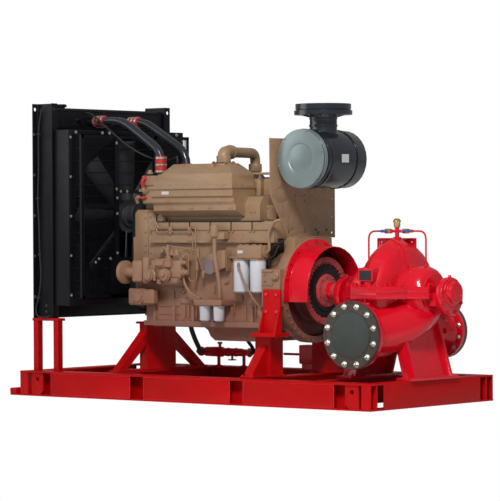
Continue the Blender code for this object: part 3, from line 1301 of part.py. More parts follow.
def lower_casing():
    """Bottom half with both branches, the feet and the arms that carry the bearings."""
    shell = turned(casing_profile(), "X", (0, 0, SHAFT_Z), ROUND_LARGE)
    shell = carve(shell, half_space(SPLIT_Z, 2.0))
    pieces = [split_flange(SPLIT_Z - SPLIT_FLANGE, SPLIT_Z), suction_passage()]
    pieces.append(nozzle(-1, SUCTION_Z, SUCTION_FACE, 0.165, SUCTION_OD / 2))
    pieces.append(nozzle(1, DISCHARGE_Z, DISCHARGE_FACE, 0.125, DISCHARGE_OD / 2))
    for end in (-1, 1):
        pieces += casing_foot(end)
        arm_x = sorted((PUMP_X + end * (CASING_END - 0.02), PUMP_X + end * ARM_END))
        arm = cuboid(arm_x, (-ARM_HALF, ARM_HALF), (SPLIT_Z - ARM_DEPTH, SPLIT_Z))
        pocket_x = sorted((PUMP_X + end * CASING_END, PUMP_X + end * (ARM_END + 0.02)))
        pieces.append(carve(arm, disc("X", (0, 0, SHAFT_Z), GLAND_POCKET, *pocket_x, ROUND_MEDIUM)))
        keel = [(0.25, SPLIT_Z - 0.08), (ARM_END, SPLIT_Z - 0.08), (ARM_END, SPLIT_Z - 0.12), (0.30, SPLIT_Z - 0.20)]
        pieces.append(prism([(PUMP_X + end * along, z) for along, z in keel], "Y", -0.014, 0.014))
    bore = disc("X", (0, 0, SHAFT_Z), SHAFT_RADIUS + RUNNING_GAP, 0.8, 2.0, ROUND_MEDIUM)
    return carve(fuse(shell, *pieces), bore)


CROWN_BOSS = 0.004
node("pump_upper_casing", upper_casing(), RED)
node("pump_lower_casing", lower_casing(), RED)

BEARING_DROP = 0.030
BEARING_FLANGE = 0.137
BEARING_THICK = 0.050


def bearing_housing(end):
    """Bearing cover: an eared flange on the arm, with its cap or its shaft collar."""
    face = PUMP_X + end * (ARM_END + SEAT)
    outer = face + end * BEARING_THICK
    flange_x = sorted((face, outer))
    flange = disc("X", (0, 0, SHAFT_Z - BEARING_DROP), BEARING_FLANGE, *flange_x, ROUND_LARGE)
    if end > 0:
        cap_profile = [(outer - 0.01, 0.096), (outer + 0.008, 0.096), (outer + 0.010, 0.079)]
        cap_profile += [(PUMP_END - 0.006, 0.079), (PUMP_END, 0.071)]
        bore_x = (face - 0.05, PUMP_END - SHAFT_SHORT + RUNNING_GAP)
    else:
        cap_profile = [(outer - 0.022, 0.070), (outer - 0.020, 0.096), (outer + 0.01, 0.096)]
        bore_x = (outer - 0.1, face + 0.1)
    cap = turned(cap_profile, "X", (0, 0, SHAFT_Z), ROUND_MEDIUM)
    bore = disc("X", (0, 0, SHAFT_Z), SHAFT_RADIUS + 0.001, *bore_x, ROUND_MEDIUM)
    return carve(fuse(flange, cap), bore)


node("bearing_housing_drive", bearing_housing(-1), RED)
node("bearing_housing_end", bearing_housing(1), RED)

suction_in = SUCTION_FACE + FLANGE_PLATE - SEAT
node("suction_flange", disc("Y", (PUMP_X, 0, SUCTION_Z), SUCTION_OD / 2, SUCTION_FACE, suction_in, ROUND_LARGE), STEEL)
discharge_in = DISCHARGE_FACE - FLANGE_PLATE + SEAT
node("discharge_flange", disc("Y", (PUMP_X, 0, DISCHARGE_Z), DISCHARGE_OD / 2, discharge_in, DISCHARGE_FACE, ROUND_LARGE), STEEL)

crown_z = SHAFT_Z + PUMP_CROWN + CROWN_BOSS + SEAT
vent_x = PUMP_X
VALVE_REACH = 0.078
VALVE_RISE = 0.047
VALVE_Z = crown_z + VALVE_RISE
tree_profile = [(0.0, 0.016), (0.072, 0.016), (0.077, 0.024), (0.105, 0.024), (0.118, 0.030), (0.132, 0.022), (0.138, 0.012)]
tree_points = [(crown_z + rise, size) for rise, size in tree_profile]
tree = turned(tree_points, "Z", (vent_x, 0, 0), ROUND_FINE, 0.17)
arms = disc("X", (0, 0, VALVE_Z), 0.011, vent_x - 0.142, vent_x + 0.142, ROUND_FINE, 0.1)
valves = [arms]
for end in (-1, 1):
    centre = (vent_x + end * VALVE_REACH, 0, VALVE_Z)
    valves.append(disc("X", centre, 0.018, -0.026, 0.026, ROUND_FINE, 0.23))
    valves.append(disc("Y", centre, 0.007, -0.030, 0.004, ROUND_FINE, 0.1))
for end in (-1, 1):
    low_x = PUMP_X + end * SEAL_TUBE_X
    landing = SHAFT_Z + BOX_SHARE * PUMP_CROWN + 0.002
    start = (vent_x + end * 0.135, 0, VALVE_Z)
    path = rounded([start, (low_x, 0, VALVE_Z), (low_x, 0, landing)], 0.075, 5)
    valves.append(pipe(path, 0.007, ROUND_FINE))
    valves.append(disc("Z", (low_x, 0, 0), 0.013, landing, landing + 0.022, ROUND_FINE, 0.15))
node("vent_pipework", fuse(tree, *valves), BRASS)


def vent_lever(end):
    """Flat quarter turn lever on its valve's stem."""
    x = vent_x + end * VALVE_REACH
    y = -0.030 - SEAT
    eye = disc("Y", (x, 0, VALVE_Z), 0.010, y - 0.005, y, ROUND_FINE)
    blade = cuboid((x, x + end * 0.070), (y - 0.004, y - 0.001), (VALVE_Z - 0.006, VALVE_Z + 0.006))
    return fuse(eye, blade)


for end, label in ((-1, "drive"), (1, "end")):
    pivot = axis_empty("lever_axis_" + label, (vent_x + end * VALVE_REACH, 0.0, VALVE_Z))
    node("vent_lever_" + label, vent_lever(end), BLUE, pivot)


# Vent hose
def smooth(points, steps):
    """Return a Catmull-Rom curve through the points."""
    points = [Vector(p) for p in points]
    guide = [points[0] * 2 - points[1]] + points + [points[-1] * 2 - points[-2]]
    path = []
    for a, b, c, d in zip(guide, guide[1:], guide[2:], guide[3:]):
        for i in range(steps):
            t = i / steps
            place = b * 2 + (c - a) * t + (a * 2 - b * 5 + c * 4 - d) * t ** 2 + (b * 3 - a - c * 3 + d) * t ** 3
            path.append(place / 2)
    path.append(points[-1])
    return path


HOSE_RADIUS = 0.008
HOSE_END = (-0.505, -0.245)
hose_route = [
    (tank_x[1] + SEAT, -0.30, 2.165),
    (-1.33, -0.30, 2.155),
    (-1.16, -0.30, 2.04),
    (-1.00, -0.26, 1.91),
    (-0.88, -0.19, 1.83),
    (-0.78, -0.160, 1.80),
    (-0.68, -0.150, 1.79),
    (-0.59, -0.170, 1.81),
    (-0.525, -0.225, 1.815),
    (*HOSE_END, 1.790),
    (*HOSE_END, COOLER_TOP + 0.015),
    (*HOSE_END, COOLER_TOP + SEAT),
]
node("vent_hose", pipe(smooth(hose_route, 3), HOSE_RADIUS, 8), RUBBER)

# The origin of the whole set is the bottom centre of its box
CENTRE_X = (PUMP_END - half_length - DRAG_REACH) / 2
for shape in list(bpy.data.objects):
    if shape.parent is None:
        shape.location.x -= CENTRE_X
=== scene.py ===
"""Looks of the diesel fire pump set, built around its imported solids."""
import json
from itertools import product
from math import cos, pi, radians, sin

import bmesh
import bpy
from mathutils import Matrix, Vector

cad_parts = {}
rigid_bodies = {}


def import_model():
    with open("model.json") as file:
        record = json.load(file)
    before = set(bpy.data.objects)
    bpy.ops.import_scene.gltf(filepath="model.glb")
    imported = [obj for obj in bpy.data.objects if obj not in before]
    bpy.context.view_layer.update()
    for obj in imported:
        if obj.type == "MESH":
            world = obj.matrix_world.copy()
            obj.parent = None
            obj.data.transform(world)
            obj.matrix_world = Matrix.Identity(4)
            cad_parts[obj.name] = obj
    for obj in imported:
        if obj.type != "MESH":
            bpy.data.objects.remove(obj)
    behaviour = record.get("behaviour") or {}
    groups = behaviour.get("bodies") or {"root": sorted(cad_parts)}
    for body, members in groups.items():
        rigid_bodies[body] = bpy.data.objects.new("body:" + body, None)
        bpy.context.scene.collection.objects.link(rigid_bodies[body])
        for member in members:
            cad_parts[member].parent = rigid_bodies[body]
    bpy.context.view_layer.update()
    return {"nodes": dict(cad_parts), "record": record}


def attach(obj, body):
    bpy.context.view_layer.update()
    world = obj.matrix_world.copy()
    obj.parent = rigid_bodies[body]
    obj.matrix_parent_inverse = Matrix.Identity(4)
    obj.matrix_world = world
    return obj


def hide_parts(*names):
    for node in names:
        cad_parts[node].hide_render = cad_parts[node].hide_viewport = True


for old in list(bpy.data.objects):
    bpy.data.objects.remove(old, do_unlink=True)
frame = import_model()
node_of = frame["nodes"]

bpy.context.scene.view_settings.view_transform = "Standard"

# Camera at the photograph's angle
CAMERA_YAW = 0.6881
CAMERA_PITCH = 0.0106
CAMERA_ROLL = -0.0058
CAMERA_PLACE = Vector((13.5675, -16.569, 1.333))
CAMERA_LENS = 205.63
CAMERA_SENSOR = 36.0
CAMERA_REACH = 200.0


def linked(name, data):
    """New object in the scene's collection."""
    made = bpy.data.objects.new(name, data)
    bpy.context.scene.collection.objects.link(made)
    return made


def object_of(name, bm):
    """Turn a finished bmesh into an object."""
    mesh = bpy.data.meshes.new(name)
    bm.to_mesh(mesh)
    bm.free()
    return linked(name, mesh)


def make_camera():
    level = cos(CAMERA_PITCH)
    heading = Vector((-sin(CAMERA_YAW) * level, cos(CAMERA_YAW) * level, -sin(CAMERA_PITCH)))
    right = heading.cross(Vector((0, 0, 1))).normalized()
    up = right.cross(heading)
    side = right * cos(CAMERA_ROLL) + up * sin(CAMERA_ROLL)
    top = -right * sin(CAMERA_ROLL) + up * cos(CAMERA_ROLL)
    data = bpy.data.cameras.new("camera")
    data.lens = CAMERA_LENS
    data.sensor_width = CAMERA_SENSOR
    data.clip_end = CAMERA_REACH
    camera = linked("camera", data)
    camera.matrix_world = Matrix.Translation(CAMERA_PLACE) @ Matrix((side, top, -heading)).transposed().to_4x4()
    bpy.context.scene.camera = camera


make_camera()


# Materials
class Graph:
    """A material's node tree with short calls for its usual nodes."""

    def __init__(self, name):
        self.material = bpy.data.materials.new(name)
        self.material.use_nodes = True
        self.tree = self.material.node_tree
        self.shader = self.tree.nodes["Principled BSDF"]
        self.place = self.node("TexCoord").outputs["Object"]

    def node(self, kind, **values):
        """New node with the inputs named in values set, underscores standing for spaces."""
        made = self.tree.nodes.new("ShaderNode" + kind)
        for name, value in values.items():
            made.inputs[name.replace("_", " ")].default_value = value
        return made

    def link(self, source, target):
        self.tree.links.new(source, target)

    def noise(self, scale, detail=4.0, roughness=0.6):
        made = self.node("TexNoise", Scale=scale, Detail=detail, Roughness=roughness)
        self.link(self.place, made.inputs["Vector"])
        return made.outputs["Fac"]

    def ramp(self, source, low, high, first=(0, 0, 0), last=(1, 1, 1)):
        made = self.node("ValToRGB")
        for stop, place, colour in zip(made.color_ramp.elements, (low, high), (first, last)):
            stop.position = place
            stop.color = (*colour, 1)
        self.link(source, made.inputs["Fac"])
        return made.outputs["Color"]

    def span(self, source, low, high):
        made = self.node("MapRange", To_Min=low, To_Max=high)
        self.link(source, made.inputs["Value"])
        return made.outputs["Result"]

    def mix(self, factor, first, second):
        made = self.node("Mix")
        made.data_type = "RGBA"
        self.link(factor, made.inputs["Factor"])
        for value, port in ((first, made.inputs[6]), (second, made.inputs[7])):
            if isinstance(value, tuple):
                port.default_value = (*value, 1)
            else:
                self.link(value, port)
        return made.outputs[2]

    def height_share(self, reach):
        """Share from 0 low down to 1 high up, broken by noise."""
        split = self.node("SeparateXYZ")
        self.link(self.place, split.inputs["Vector"])
        total = self.node("Math")
        total.operation = "MULTIPLY_ADD"
        self.link(self.noise(7.0, 5.0), total.inputs[0])
        total.inputs[1].default_value = 2 * HALF_NOISE
        self.link(split.outputs["Z"], total.inputs[2])
        made = self.node("MapRange", From_Min=reach[0] + HALF_LIFT, From_Max=reach[1] + HALF_LIFT)
        self.link(total.outputs["Value"], made.inputs["Value"])
        return made.outputs["Result"]

    def bump(self, source, strength, distance):
        made = self.node("Bump", Strength=strength, Distance=distance)
        self.link(source, made.inputs["Height"])
        self.link(made.outputs["Normal"], self.shader.inputs["Normal"])


def shade(colour, factor):
    return tuple(min(1.0, c * factor) for c in colour)


# Painted shade and red overspray low on the engine: heights that its darker, redder tone fades between, and the
# overspray mist's tint
OVERSPRAY_AND_SHADE = (0.55, 1.35)
HALF_NOISE = 0.275
HALF_LIFT = 0.27
MIST_RED = (0.27, 0.060, 0.055)


def finish_of(name, colour, rough, metal=0.0, coat=0.0, spread=0.12, grain=90.0, depth=0.0006, dirt=0.0,
              shine=0.5, low=None):
    """Painted, cast or bare surface with mottling, uneven gloss and a fine grain, with painted shade and red
    overspray low down where a low colour is given.
    """
    graph = Graph(name)
    ports = graph.shader.inputs
    ports["Metallic"].default_value = metal
    ports["Specular IOR Level"].default_value = shine
    if coat:
        ports["Coat Weight"].default_value = coat
        ports["Coat Roughness"].default_value = 0.12
    tone = graph.ramp(graph.noise(3.5, 5.0), 0.3, 0.7, shade(colour, 1 - spread), shade(colour, 1 + spread))
    # a low colour makes the surface darker and redder towards the bottom: painted shade together with red
    # overspray
    if low:
        tone = graph.mix(graph.height_share(OVERSPRAY_AND_SHADE), low, tone)
        mist = graph.ramp(graph.noise(9.0, 9.0, 0.75), 0.54, 0.70)
        tone = graph.mix(graph.span(mist, 0.0, 0.40), tone, MIST_RED)
    if dirt:
        spots = graph.ramp(graph.noise(14.0, 8.0, 0.7), 0.52, 0.72)
        tone = graph.mix(graph.span(spots, 0.0, dirt), tone, shade(low or colour, 0.35))
    graph.link(tone, ports["Base Color"])
    graph.link(graph.span(graph.noise(11.0, 6.0), rough * 0.75, min(1.0, rough * 1.3)), ports["Roughness"])
    graph.bump(graph.noise(grain, 3.0), 0.35, depth)
    return graph.material


PAINT = {
    "red": finish_of("red_enamel", (0.6, 0.003, 0.015), 0.26, coat=0.45, spread=0.08, grain=60.0, shine=0.2),
    # darker copy of the pump's red for the skid and supports: painted shade, with the frame's own duller,
    # uncoated gloss
    "shaded_frame_red": finish_of("shaded_frame_red", (0.42, 0.002, 0.003), 0.42, grain=50.0, depth=0.0008, shine=0.12),
    "black": finish_of("radiator_enamel", (0.0035, 0.0038, 0.006), 0.42, spread=0.25, depth=0.0004, shine=0.22),
    "grey": finish_of("pipe_enamel", (0.016, 0.018, 0.024), 0.26, coat=0.2, spread=0.2, depth=0.0004),
    "iron": finish_of("bare_iron", (0.1, 0.085, 0.075), 0.48, metal=0.75, spread=0.3, grain=160.0, dirt=0.5),
    "white": finish_of("filter_white", (0.5, 0.5, 0.53), 0.34, coat=0.2, spread=0.05, depth=0.0002),
    "cleaner": finish_of("cleaner_enamel", (0.012, 0.015, 0.022), 0.22, coat=0.4, spread=0.15, depth=0.0003),
    "silver": finish_of("cap_silver", (0.22, 0.27, 0.27), 0.36, metal=0.55, depth=0.0004),
    # black rubber, also used for the dark sheet painted as shadow over the engine's covers
    "rubber": finish_of("black_rubber", (0.008, 0.008, 0.009), 0.68, spread=0.3, grain=220.0),
    "brass": finish_of("brass", (0.62, 0.42, 0.16), 0.28, metal=0.9, spread=0.15, depth=0.0002),
    "blue": finish_of("blue_plastic", (0.01, 0.05, 0.36), 0.4, spread=0.1, depth=0.0002),
    "zinc": finish_of("zinc_plate", (0.62, 0.6, 0.52), 0.3, metal=0.85, spread=0.15, depth=0.0002),
    "silicone": finish_of("red_silicone", (0.4, 0.016, 0.018), 0.55, grain=300.0, depth=0.0003),
    "blade": finish_of("fan_grey", (0.026, 0.027, 0.03), 0.45, spread=0.1, depth=0.0003),
    "panel": finish_of("grey_panel", (0.165, 0.12, 0.12), 0.5, depth=0.0004, dirt=0.3),
    "label": finish_of("bare_label", (0.5, 0.5, 0.5), 0.5, spread=0.04, depth=0.0001),
    "plate": finish_of("bare_plate", (0.05, 0.05, 0.055), 0.3, metal=0.7, spread=0.15, depth=0.0001),
    "pink": finish_of("primer_red", (0.4, 0.055, 0.055), 0.5, spread=0.15, dirt=0.3),
    # dark red for overspray, for the joint between the pump's casings, and for painted shadow in gaps
    "dust_and_shadow": finish_of("overspray_and_shadow_red", (0.1, 0.012, 0.012), 0.6, spread=0.35, dirt=0.5),
    "blank": finish_of("flange_blank", (0.032, 0.042, 0.037), 0.55, spread=0.35, grain=40.0, depth=0.0005,
                       dirt=0.4),
    # its low colour darkens the lower engine as painted shade and reddens it as overspray
    "engine": finish_of("engine_enamel", (0.298, 0.187, 0.103), 0.44, spread=0.1, depth=0.001, dirt=0.3,
                        low=(0.225, 0.095, 0.06)),
}


# Floor, world and lamps
FLOOR_SIZE = 60.0
FLOOR_DROP = 0.001
WORLD_LIGHT = 0.30


def stage_floor():
    """White floor and backdrop that still catch the set's shadow."""
    bm = bmesh.new()
    bmesh.ops.create_grid(bm, x_segments=1, y_segments=1, size=FLOOR_SIZE)
    floor = object_of("floor", bm)
    floor.location.z = -FLOOR_DROP
    graph = Graph("floor_white")
    graph.tree.nodes.remove(graph.shader)
    path = graph.node("LightPath")
    plain = graph.node("BsdfDiffuse", Color=(0.8, 0.8, 0.8, 1))
    glow = graph.node("Emission", Color=(1, 1, 1, 1), Strength=1.0)
    blend = graph.node("MixShader")
    graph.link(path.outputs["Is Camera Ray"], blend.inputs["Fac"])
    graph.link(plain.outputs["BSDF"], blend.inputs[1])
    graph.link(glow.outputs["Emission"], blend.inputs[2])
    graph.link(blend.outputs["Shader"], graph.tree.nodes["Material Output"].inputs["Surface"])
    floor.data.materials.append(graph.material)


def light_world():
    """White to the camera, and dimmer as a light."""
    world = bpy.data.worlds.new("studio")
    bpy.context.scene.world = world
    world.use_nodes = True
    tree = world.node_tree
    back = tree.nodes["Background"]
    back.inputs["Color"].default_value = (1, 1, 1, 1)
    path = tree.nodes.new("ShaderNodeLightPath")
    reach = tree.nodes.new("ShaderNodeMapRange")
    reach.inputs["To Min"].default_value = WORLD_LIGHT
    reach.inputs["To Max"].default_value = 1.0
    tree.links.new(path.outputs["Is Camera Ray"], reach.inputs["Value"])
    tree.links.new(reach.outputs["Result"], back.inputs["Strength"])


def area_lamp(name, place, target, size, power):
    data = bpy.data.lights.new(name, "AREA")
    data.size = size
    data.energy = power
    lamp = linked(name, data)
    lamp.location = place
    lamp.rotation_mode = "QUATERNION"
    lamp.rotation_quaternion = (Vector(target) - Vector(place)).to_track_quat("-Z", "Y")


stage_floor()
light_world()
area_lamp("key", (5.0, -7.0, 7.5), (0, 0, 1), 2.2, 940)
area_lamp("fill", (-6.0, -5.0, 4.0), (0, 0, 1), 5.0, 120)


# Pieces taken from the solids, their edges softened
slot_of = {row["node"]: row["material_slot"] for row in frame["record"]["subparts"]}
body_of = {}
for body, members in frame["record"]["behaviour"]["bodies"].items():
    for member in members:
        body_of[member] = body
SMOOTH_ANGLE = 32
PIPE_ANGLE = 60


def settle(shape, body, slot, nodes=()):
    """Put a finished piece on its body, with its slot's material and the nodes it stands for."""
    if not shape.data.materials:
        shape.data.materials.append(PAINT[slot])
    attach(shape, body)
    if nodes:
        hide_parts(*nodes)


def clean_copy(node):
    """Copy of a node's solid without its doubled points and flat seams."""
    bm = bmesh.new()
    bm.from_mesh(node_of[node].data)
    bmesh.ops.remove_doubles(bm, verts=bm.verts, dist=1e-5)
    bmesh.ops.dissolve_limit(bm, angle_limit=radians(0.6), verts=bm.verts, edges=bm.edges)
    return object_of(node + "_dressed", bm)


def soften(shape, width, angle=SMOOTH_ANGLE):
    """Rounded edges where faces meet at more than the angle."""
    shape.data.shade_smooth()
    step = shape.modifiers.new("edges", "BEVEL")
    step.width = width
    step.segments = 2
    step.limit_method = "ANGLE"
    step.angle_limit = radians(angle)
    step.use_clamp_overlap = True
    step.harden_normals = True


# Small builders, all drawn about the skid's centre
CENTRE_X = 0.0505
DRAWN = Matrix.Translation((-CENTRE_X, 0, 0))
TURNS = {
    "X": Matrix.Rotation(pi / 2, 4, "Y"),
    "-X": Matrix.Rotation(-pi / 2, 4, "Y"),
    "Y": Matrix.Rotation(-pi / 2, 4, "X"),
    "-Y": Matrix.Rotation(pi / 2, 4, "X"),
    "Z": Matrix.Identity(4),
    "-Z": Matrix.Rotation(pi, 4, "X"),
}
SIDES = ((-1, "-Y"), (1, "Y"))
ANY_WAY = Vector((0.31, 0.52, 0.79))


def around(axis, centre, radius, count, phase=0.0, along=0.0):
    """Places evenly spread on a circle about an axis."""
    turned = Matrix.Translation(centre) @ TURNS[axis]
    angles = [2 * pi * (i + phase) / count for i in range(count)]
    return [turned @ Vector((radius * cos(a), radius * sin(a), along)) for a in angles]


def curve_through(points, steps):
    """Catmull-Rom curve through the points."""
    points = [Vector(p) for p in points]
    if steps < 2:
        return points
    guide = [points[0] * 2 - points[1]] + points + [points[-1] * 2 - points[-2]]
    path = []
    for a, b, c, d in zip(guide, guide[1:], guide[2:], guide[3:]):
        for t in [i / steps for i in range(steps)]:
            square = (a * 2 - b * 5 + c * 4 - d) * t ** 2
            cube = (b * 3 - a - c * 3 + d) * t ** 3
            path.append((b * 2 + (c - a) * t + square + cube) / 2)
    return path + points[-1:]


class Maker:
    """Gathers simple closed forms into one mesh and settles it as a piece."""

    def __init__(self, name):
        self.name = name
        self.bm = bmesh.new()

    def skin(self, rows, caps=True):
        """Faces between rows of places, each row a closed loop."""
        rows = [[self.bm.verts.new(place) for place in row] for row in rows]
        if not caps:
            rows.append(rows[0])
        for low, high in zip(rows, rows[1:]):
            for i in range(len(low)):
                j = (i + 1) % len(low)
                self.bm.faces.new((low[i], low[j], high[j], high[i]))
        if caps:
            self.bm.faces.new(list(reversed(rows[0])))
            self.bm.faces.new(rows[-1])

    def lathe(self, profile, axis, centre, sides=24, phase=0.0):
        """Turn a closed profile of (along, radius) about an axis through centre."""
        self.skin([around(axis, centre, radius, sides, phase, along) for along, radius in profile])

    def boss(self, axis, centre, sides, radius, height, *steps):
        """Round boss of a radius and height, with the steps of (along, radius) on its top."""
        self.lathe([(0, radius), (height, radius), *steps], axis, centre, sides)

    def hoop(self, axis, centre, inner, outer, low, high, sides=32):
        """A flat ring with a hole, from low to high along its axis."""
        corners = ((low, inner), (low, outer), (high, outer), (high, inner))
        self.skin([around(axis, centre, radius, sides, 0, along) for along, radius in corners], caps=False)

    def bolt(self, place, axis, radius, height, washer=True):
        """Hexagon head with a domed top on its washer."""
        if washer:
            self.lathe([(-0.001, radius * 1.35), (height * 0.22, radius * 1.35)], axis, place, 12)
        self.lathe([(height * 0.2, radius), (height * 0.85, radius), (height, radius * 0.78)], axis, place, 6)

    def bolts(self, x, y, z, *kind):
        """The same bolt at each combination of the places given along the three axes."""
        for place in product(*[span if isinstance(span, tuple) else (span,) for span in (x, y, z)]):
            self.bolt(place, *kind)

    def bolt_circle(self, axis, centre, ring, count, phase, *kind):
        """Bolts that point along an axis, evenly spread round it."""
        for place in around(axis, centre, ring, count, phase):
            self.bolt(place, axis, *kind)

    def stud(self, place, axis, radius, height):
        """Nut on a protruding threaded end."""
        self.bolt(place, axis, radius, height * 0.62)
        end = [(height * 0.5, radius * 0.55), (height * 0.95, radius * 0.55), (height, radius * 0.45)]
        self.lathe(end, axis, place, 10)

    def tube(self, points, radius, sides=10, steps=6):
        """Round tube along a smooth path through the points."""
        path = curve_through(points, steps)
        angles = [2 * pi * k / sides for k in range(sides)]
        side = None
        rows = []
        for before, point, after in zip(path[:1] + path, path, path[1:] + path[-1:]):
            along = (after - before).normalized()
            side = side or along.cross(ANY_WAY).normalized()
            side = (side - along * side.dot(along)).normalized()
            other = along.cross(side)
            rows.append([point + (side * cos(a) + other * sin(a)) * radius for a in angles])
        self.skin(rows)

    def slab(self, x, y, z):
        """Box between its limits along the three axes."""
        place = [self.bm.verts.new(corner) for corner in product(sorted(x), sorted(y), sorted(z))]
        for face in ((0, 1, 3, 2), (4, 6, 7, 5), (0, 4, 5, 1), (2, 3, 7, 6), (0, 2, 6, 4), (1, 5, 7, 3)):
            self.bm.faces.new([place[i] for i in face])

    def shape(self):
        """Close the mesh and move it into the frame."""
        bmesh.ops.recalc_face_normals(self.bm, faces=self.bm.faces)
        bmesh.ops.transform(self.bm, matrix=DRAWN, verts=self.bm.verts)
        return object_of(self.name, self.bm)

    def done(self, slot, paint=None, body="set", bevel=0.0, nodes=()):
        """Settle the piece on its body, with rounded or plain sharp edges."""
        shape = self.shape()
        shape.data.materials.append(PAINT[paint or slot])
        if bevel:
            soften(shape, bevel)
        else:
            shape.data.shade_smooth()
            shape.data.set_sharp_from_angle(angle=radians(SMOOTH_ANGLE))
        settle(shape, body, slot, nodes)


def piece(slot, paint=None, **rest):
    """Make the piece that the function below draws, under the function's name."""
    def build(draw):
        made = Maker(draw.__name__)
        draw(made)
        made.done(slot, paint, **rest)
        return draw
    return build


# How the nodes are painted: all over, or in two parts split by the place of a face
PUMP_X = 1.366
SHAFT_Z = 0.812
VALVE_LOW = 1.2285
VALVE_TOP = 1.275
VALVE_REACH = (0.045, 0.135)
ALL_OVER = {
    "breather": "engine",
    "control_box": "engine",
    "crank_pulley": "black",
    "fan": "blade",
    "fan_pulley": "blade",
    "flywheel": "dust_and_shadow",
    "pump_shaft": "red",
}
FRAME_NODES = ("skid_", "cross_", "end_beam", "drag", "radiator_stand", "front_support", "rear_support")


def at_valves(place):
    """True where the vent pipework's brass valves are."""
    reach = abs(place.x + CENTRE_X - PUMP_X)
    low, high = VALVE_REACH
    return place.z > VALVE_LOW and (low < reach < high or (place.z > VALVE_TOP and reach < low))


IN_PARTS = {
    "fuel_filters": ("white", "engine", lambda place: place.z > 0.7005),
    "oil_filters": ("white", "engine", lambda place: place.z > 1.0440),
    "vent_pipework": ("red", "brass", at_valves),
}
DRAWN_ANEW = ("fan_guard", "cleaner_plate")
ROUND_NODES = ("coolant_pipe_near", "coolant_pipe_far", "vent_hose", "crossover_pipe")
NODE_EDGE = 0.003

for node in sorted(node_of):
    if node in DRAWN_ANEW:
        continue
    dressed = clean_copy(node)
    if node in IN_PARTS:
        main, other, test = IN_PARTS[node]
        dressed.data.materials.append(PAINT[main])
        dressed.data.materials.append(PAINT[other])
        for face in dressed.data.polygons:
            face.material_index = int(test(face.center))
    elif node in ALL_OVER:
        dressed.data.materials.append(PAINT[ALL_OVER[node]])
    elif node.startswith(FRAME_NODES):
        dressed.data.materials.append(PAINT["shaded_frame_red"])
    soften(dressed, NODE_EDGE, PIPE_ANGLE if node in ROUND_NODES else SMOOTH_ANGLE)
    settle(dressed, body_of[node], slot_of[node], [node])


# Radiator, its guard and hoses
GUARD_FRONT = -1.136
GUARD_BACK = -1.231
GUARD_HALF = 0.6235
GUARD_LOW = 0.745
GUARD_HIGH = 1.992
BAR_PITCH = 0.091
BAR_FIRST = 0.792
BAR_COUNT = 13
FRAME_Y = 0.225
PANEL_HALF = 0.305
STRAP_LOW = 1.045
PIPE_Z = 2.0995
MESH_PITCH = 0.0125
MESH_WIRE = 0.0015


@piece("black", nodes=["fan_guard"])
def guard_frame(made):
    """Angle frame, cross straps and wires that stand for the guard's plain solid."""
    width = 0.013
    face = (GUARD_FRONT - 0.003, GUARD_FRONT)
    wall = (GUARD_FRONT - 2 * width, GUARD_FRONT)
    foot = (GUARD_BACK, GUARD_BACK + width)
    strap = (GUARD_FRONT - 0.006, GUARD_FRONT + 0.0005)
    across = (-GUARD_HALF, GUARD_HALF)
    height = (GUARD_LOW, GUARD_HIGH)
    for side in (-1, 1):
        edge = side * GUARD_HALF
        skin = (edge, edge - side * 0.003)
        made.slab(face, (edge, edge - side * 2 * width), height)
        made.slab(wall, skin, height)
        made.slab(foot, skin, height)
        for z in (GUARD_LOW, GUARD_HIGH - 0.003):
            made.slab((GUARD_BACK, GUARD_FRONT), (edge, edge - side * width), (z, z + 0.003))
    for z in (GUARD_LOW, GUARD_HIGH - 2 * width):
        made.slab(face, across, (z, z + 2 * width))
    for z in (GUARD_LOW, GUARD_HIGH - 0.003):
        made.slab(wall, across, (z, z + 0.003))
        made.slab(foot, across, (z, z + 0.003))
    for y in (-FRAME_Y, FRAME_Y):
        made.slab((GUARD_FRONT - 0.006, GUARD_FRONT), (y - 0.02, y + 0.02), (STRAP_LOW, GUARD_HIGH))
        made.slab((GUARD_FRONT - 0.03, GUARD_FRONT - 0.004), (y - 0.002, y + 0.002), (STRAP_LOW, GUARD_HIGH))
    for y, z in (((-GUARD_HALF, -FRAME_Y), (1.434, 1.466)), ((FRAME_Y, GUARD_HALF), (1.434, 1.466)),
                 ((-0.245, 0.245), (1.545, 1.572)), ((-0.475, 0.475), (1.038, 1.052)),
                 ((-0.48, -0.466), (GUARD_LOW, 1.044)), ((0.466, 0.48), (GUARD_LOW, 1.044))):
        made.slab(strap, y, z)
    made.slab((GUARD_FRONT - 0.005, GUARD_FRONT), (-PANEL_HALF, PANEL_HALF), (GUARD_LOW, 1.044))
    front = GUARD_FRONT - 0.004
    for i in range(BAR_COUNT):
        z = BAR_FIRST + BAR_PITCH * i
        for y in (-GUARD_HALF + 0.004, GUARD_HALF - 0.004):
            made.tube([(GUARD_BACK, y, z), (front, y, z)], 0.003, 6, 1)
        gaps = [across]
        if z < 1.04:
            gaps = [(-GUARD_HALF, -PANEL_HALF), (PANEL_HALF, GUARD_HALF)]
        elif 1.06 < z < 1.54:
            gaps = [(-GUARD_HALF, -FRAME_Y), (FRAME_Y, GUARD_HALF)]
        for low, high in gaps:
            made.tube([(front, low, z), (front, high, z)], 0.0032, 6, 1)


@piece("black")
def guard_mesh(made):
    """Upright wires of the guard's front and sides."""
    low, high = GUARD_LOW + 0.004, GUARD_HIGH - 0.004
    for i in range(int(2 * (GUARD_HALF - 0.02) / MESH_PITCH) + 1):
        y = -GUARD_HALF + 0.02 + MESH_PITCH * i
        start = low
        if abs(y) < 0.205:
            start = 1.56
        elif abs(y) < PANEL_HALF:
            start = 1.046
        made.tube([(GUARD_FRONT - 0.008, y, start), (GUARD_FRONT - 0.008, y, high)], MESH_WIRE, 4, 1)
    for y in (0.008 - GUARD_HALF, GUARD_HALF - 0.008):
        for i in range(6):
            x = GUARD_BACK + 0.014 + MESH_PITCH * i
            made.tube([(x, y, low), (x, y, high)], MESH_WIRE, 4, 1)


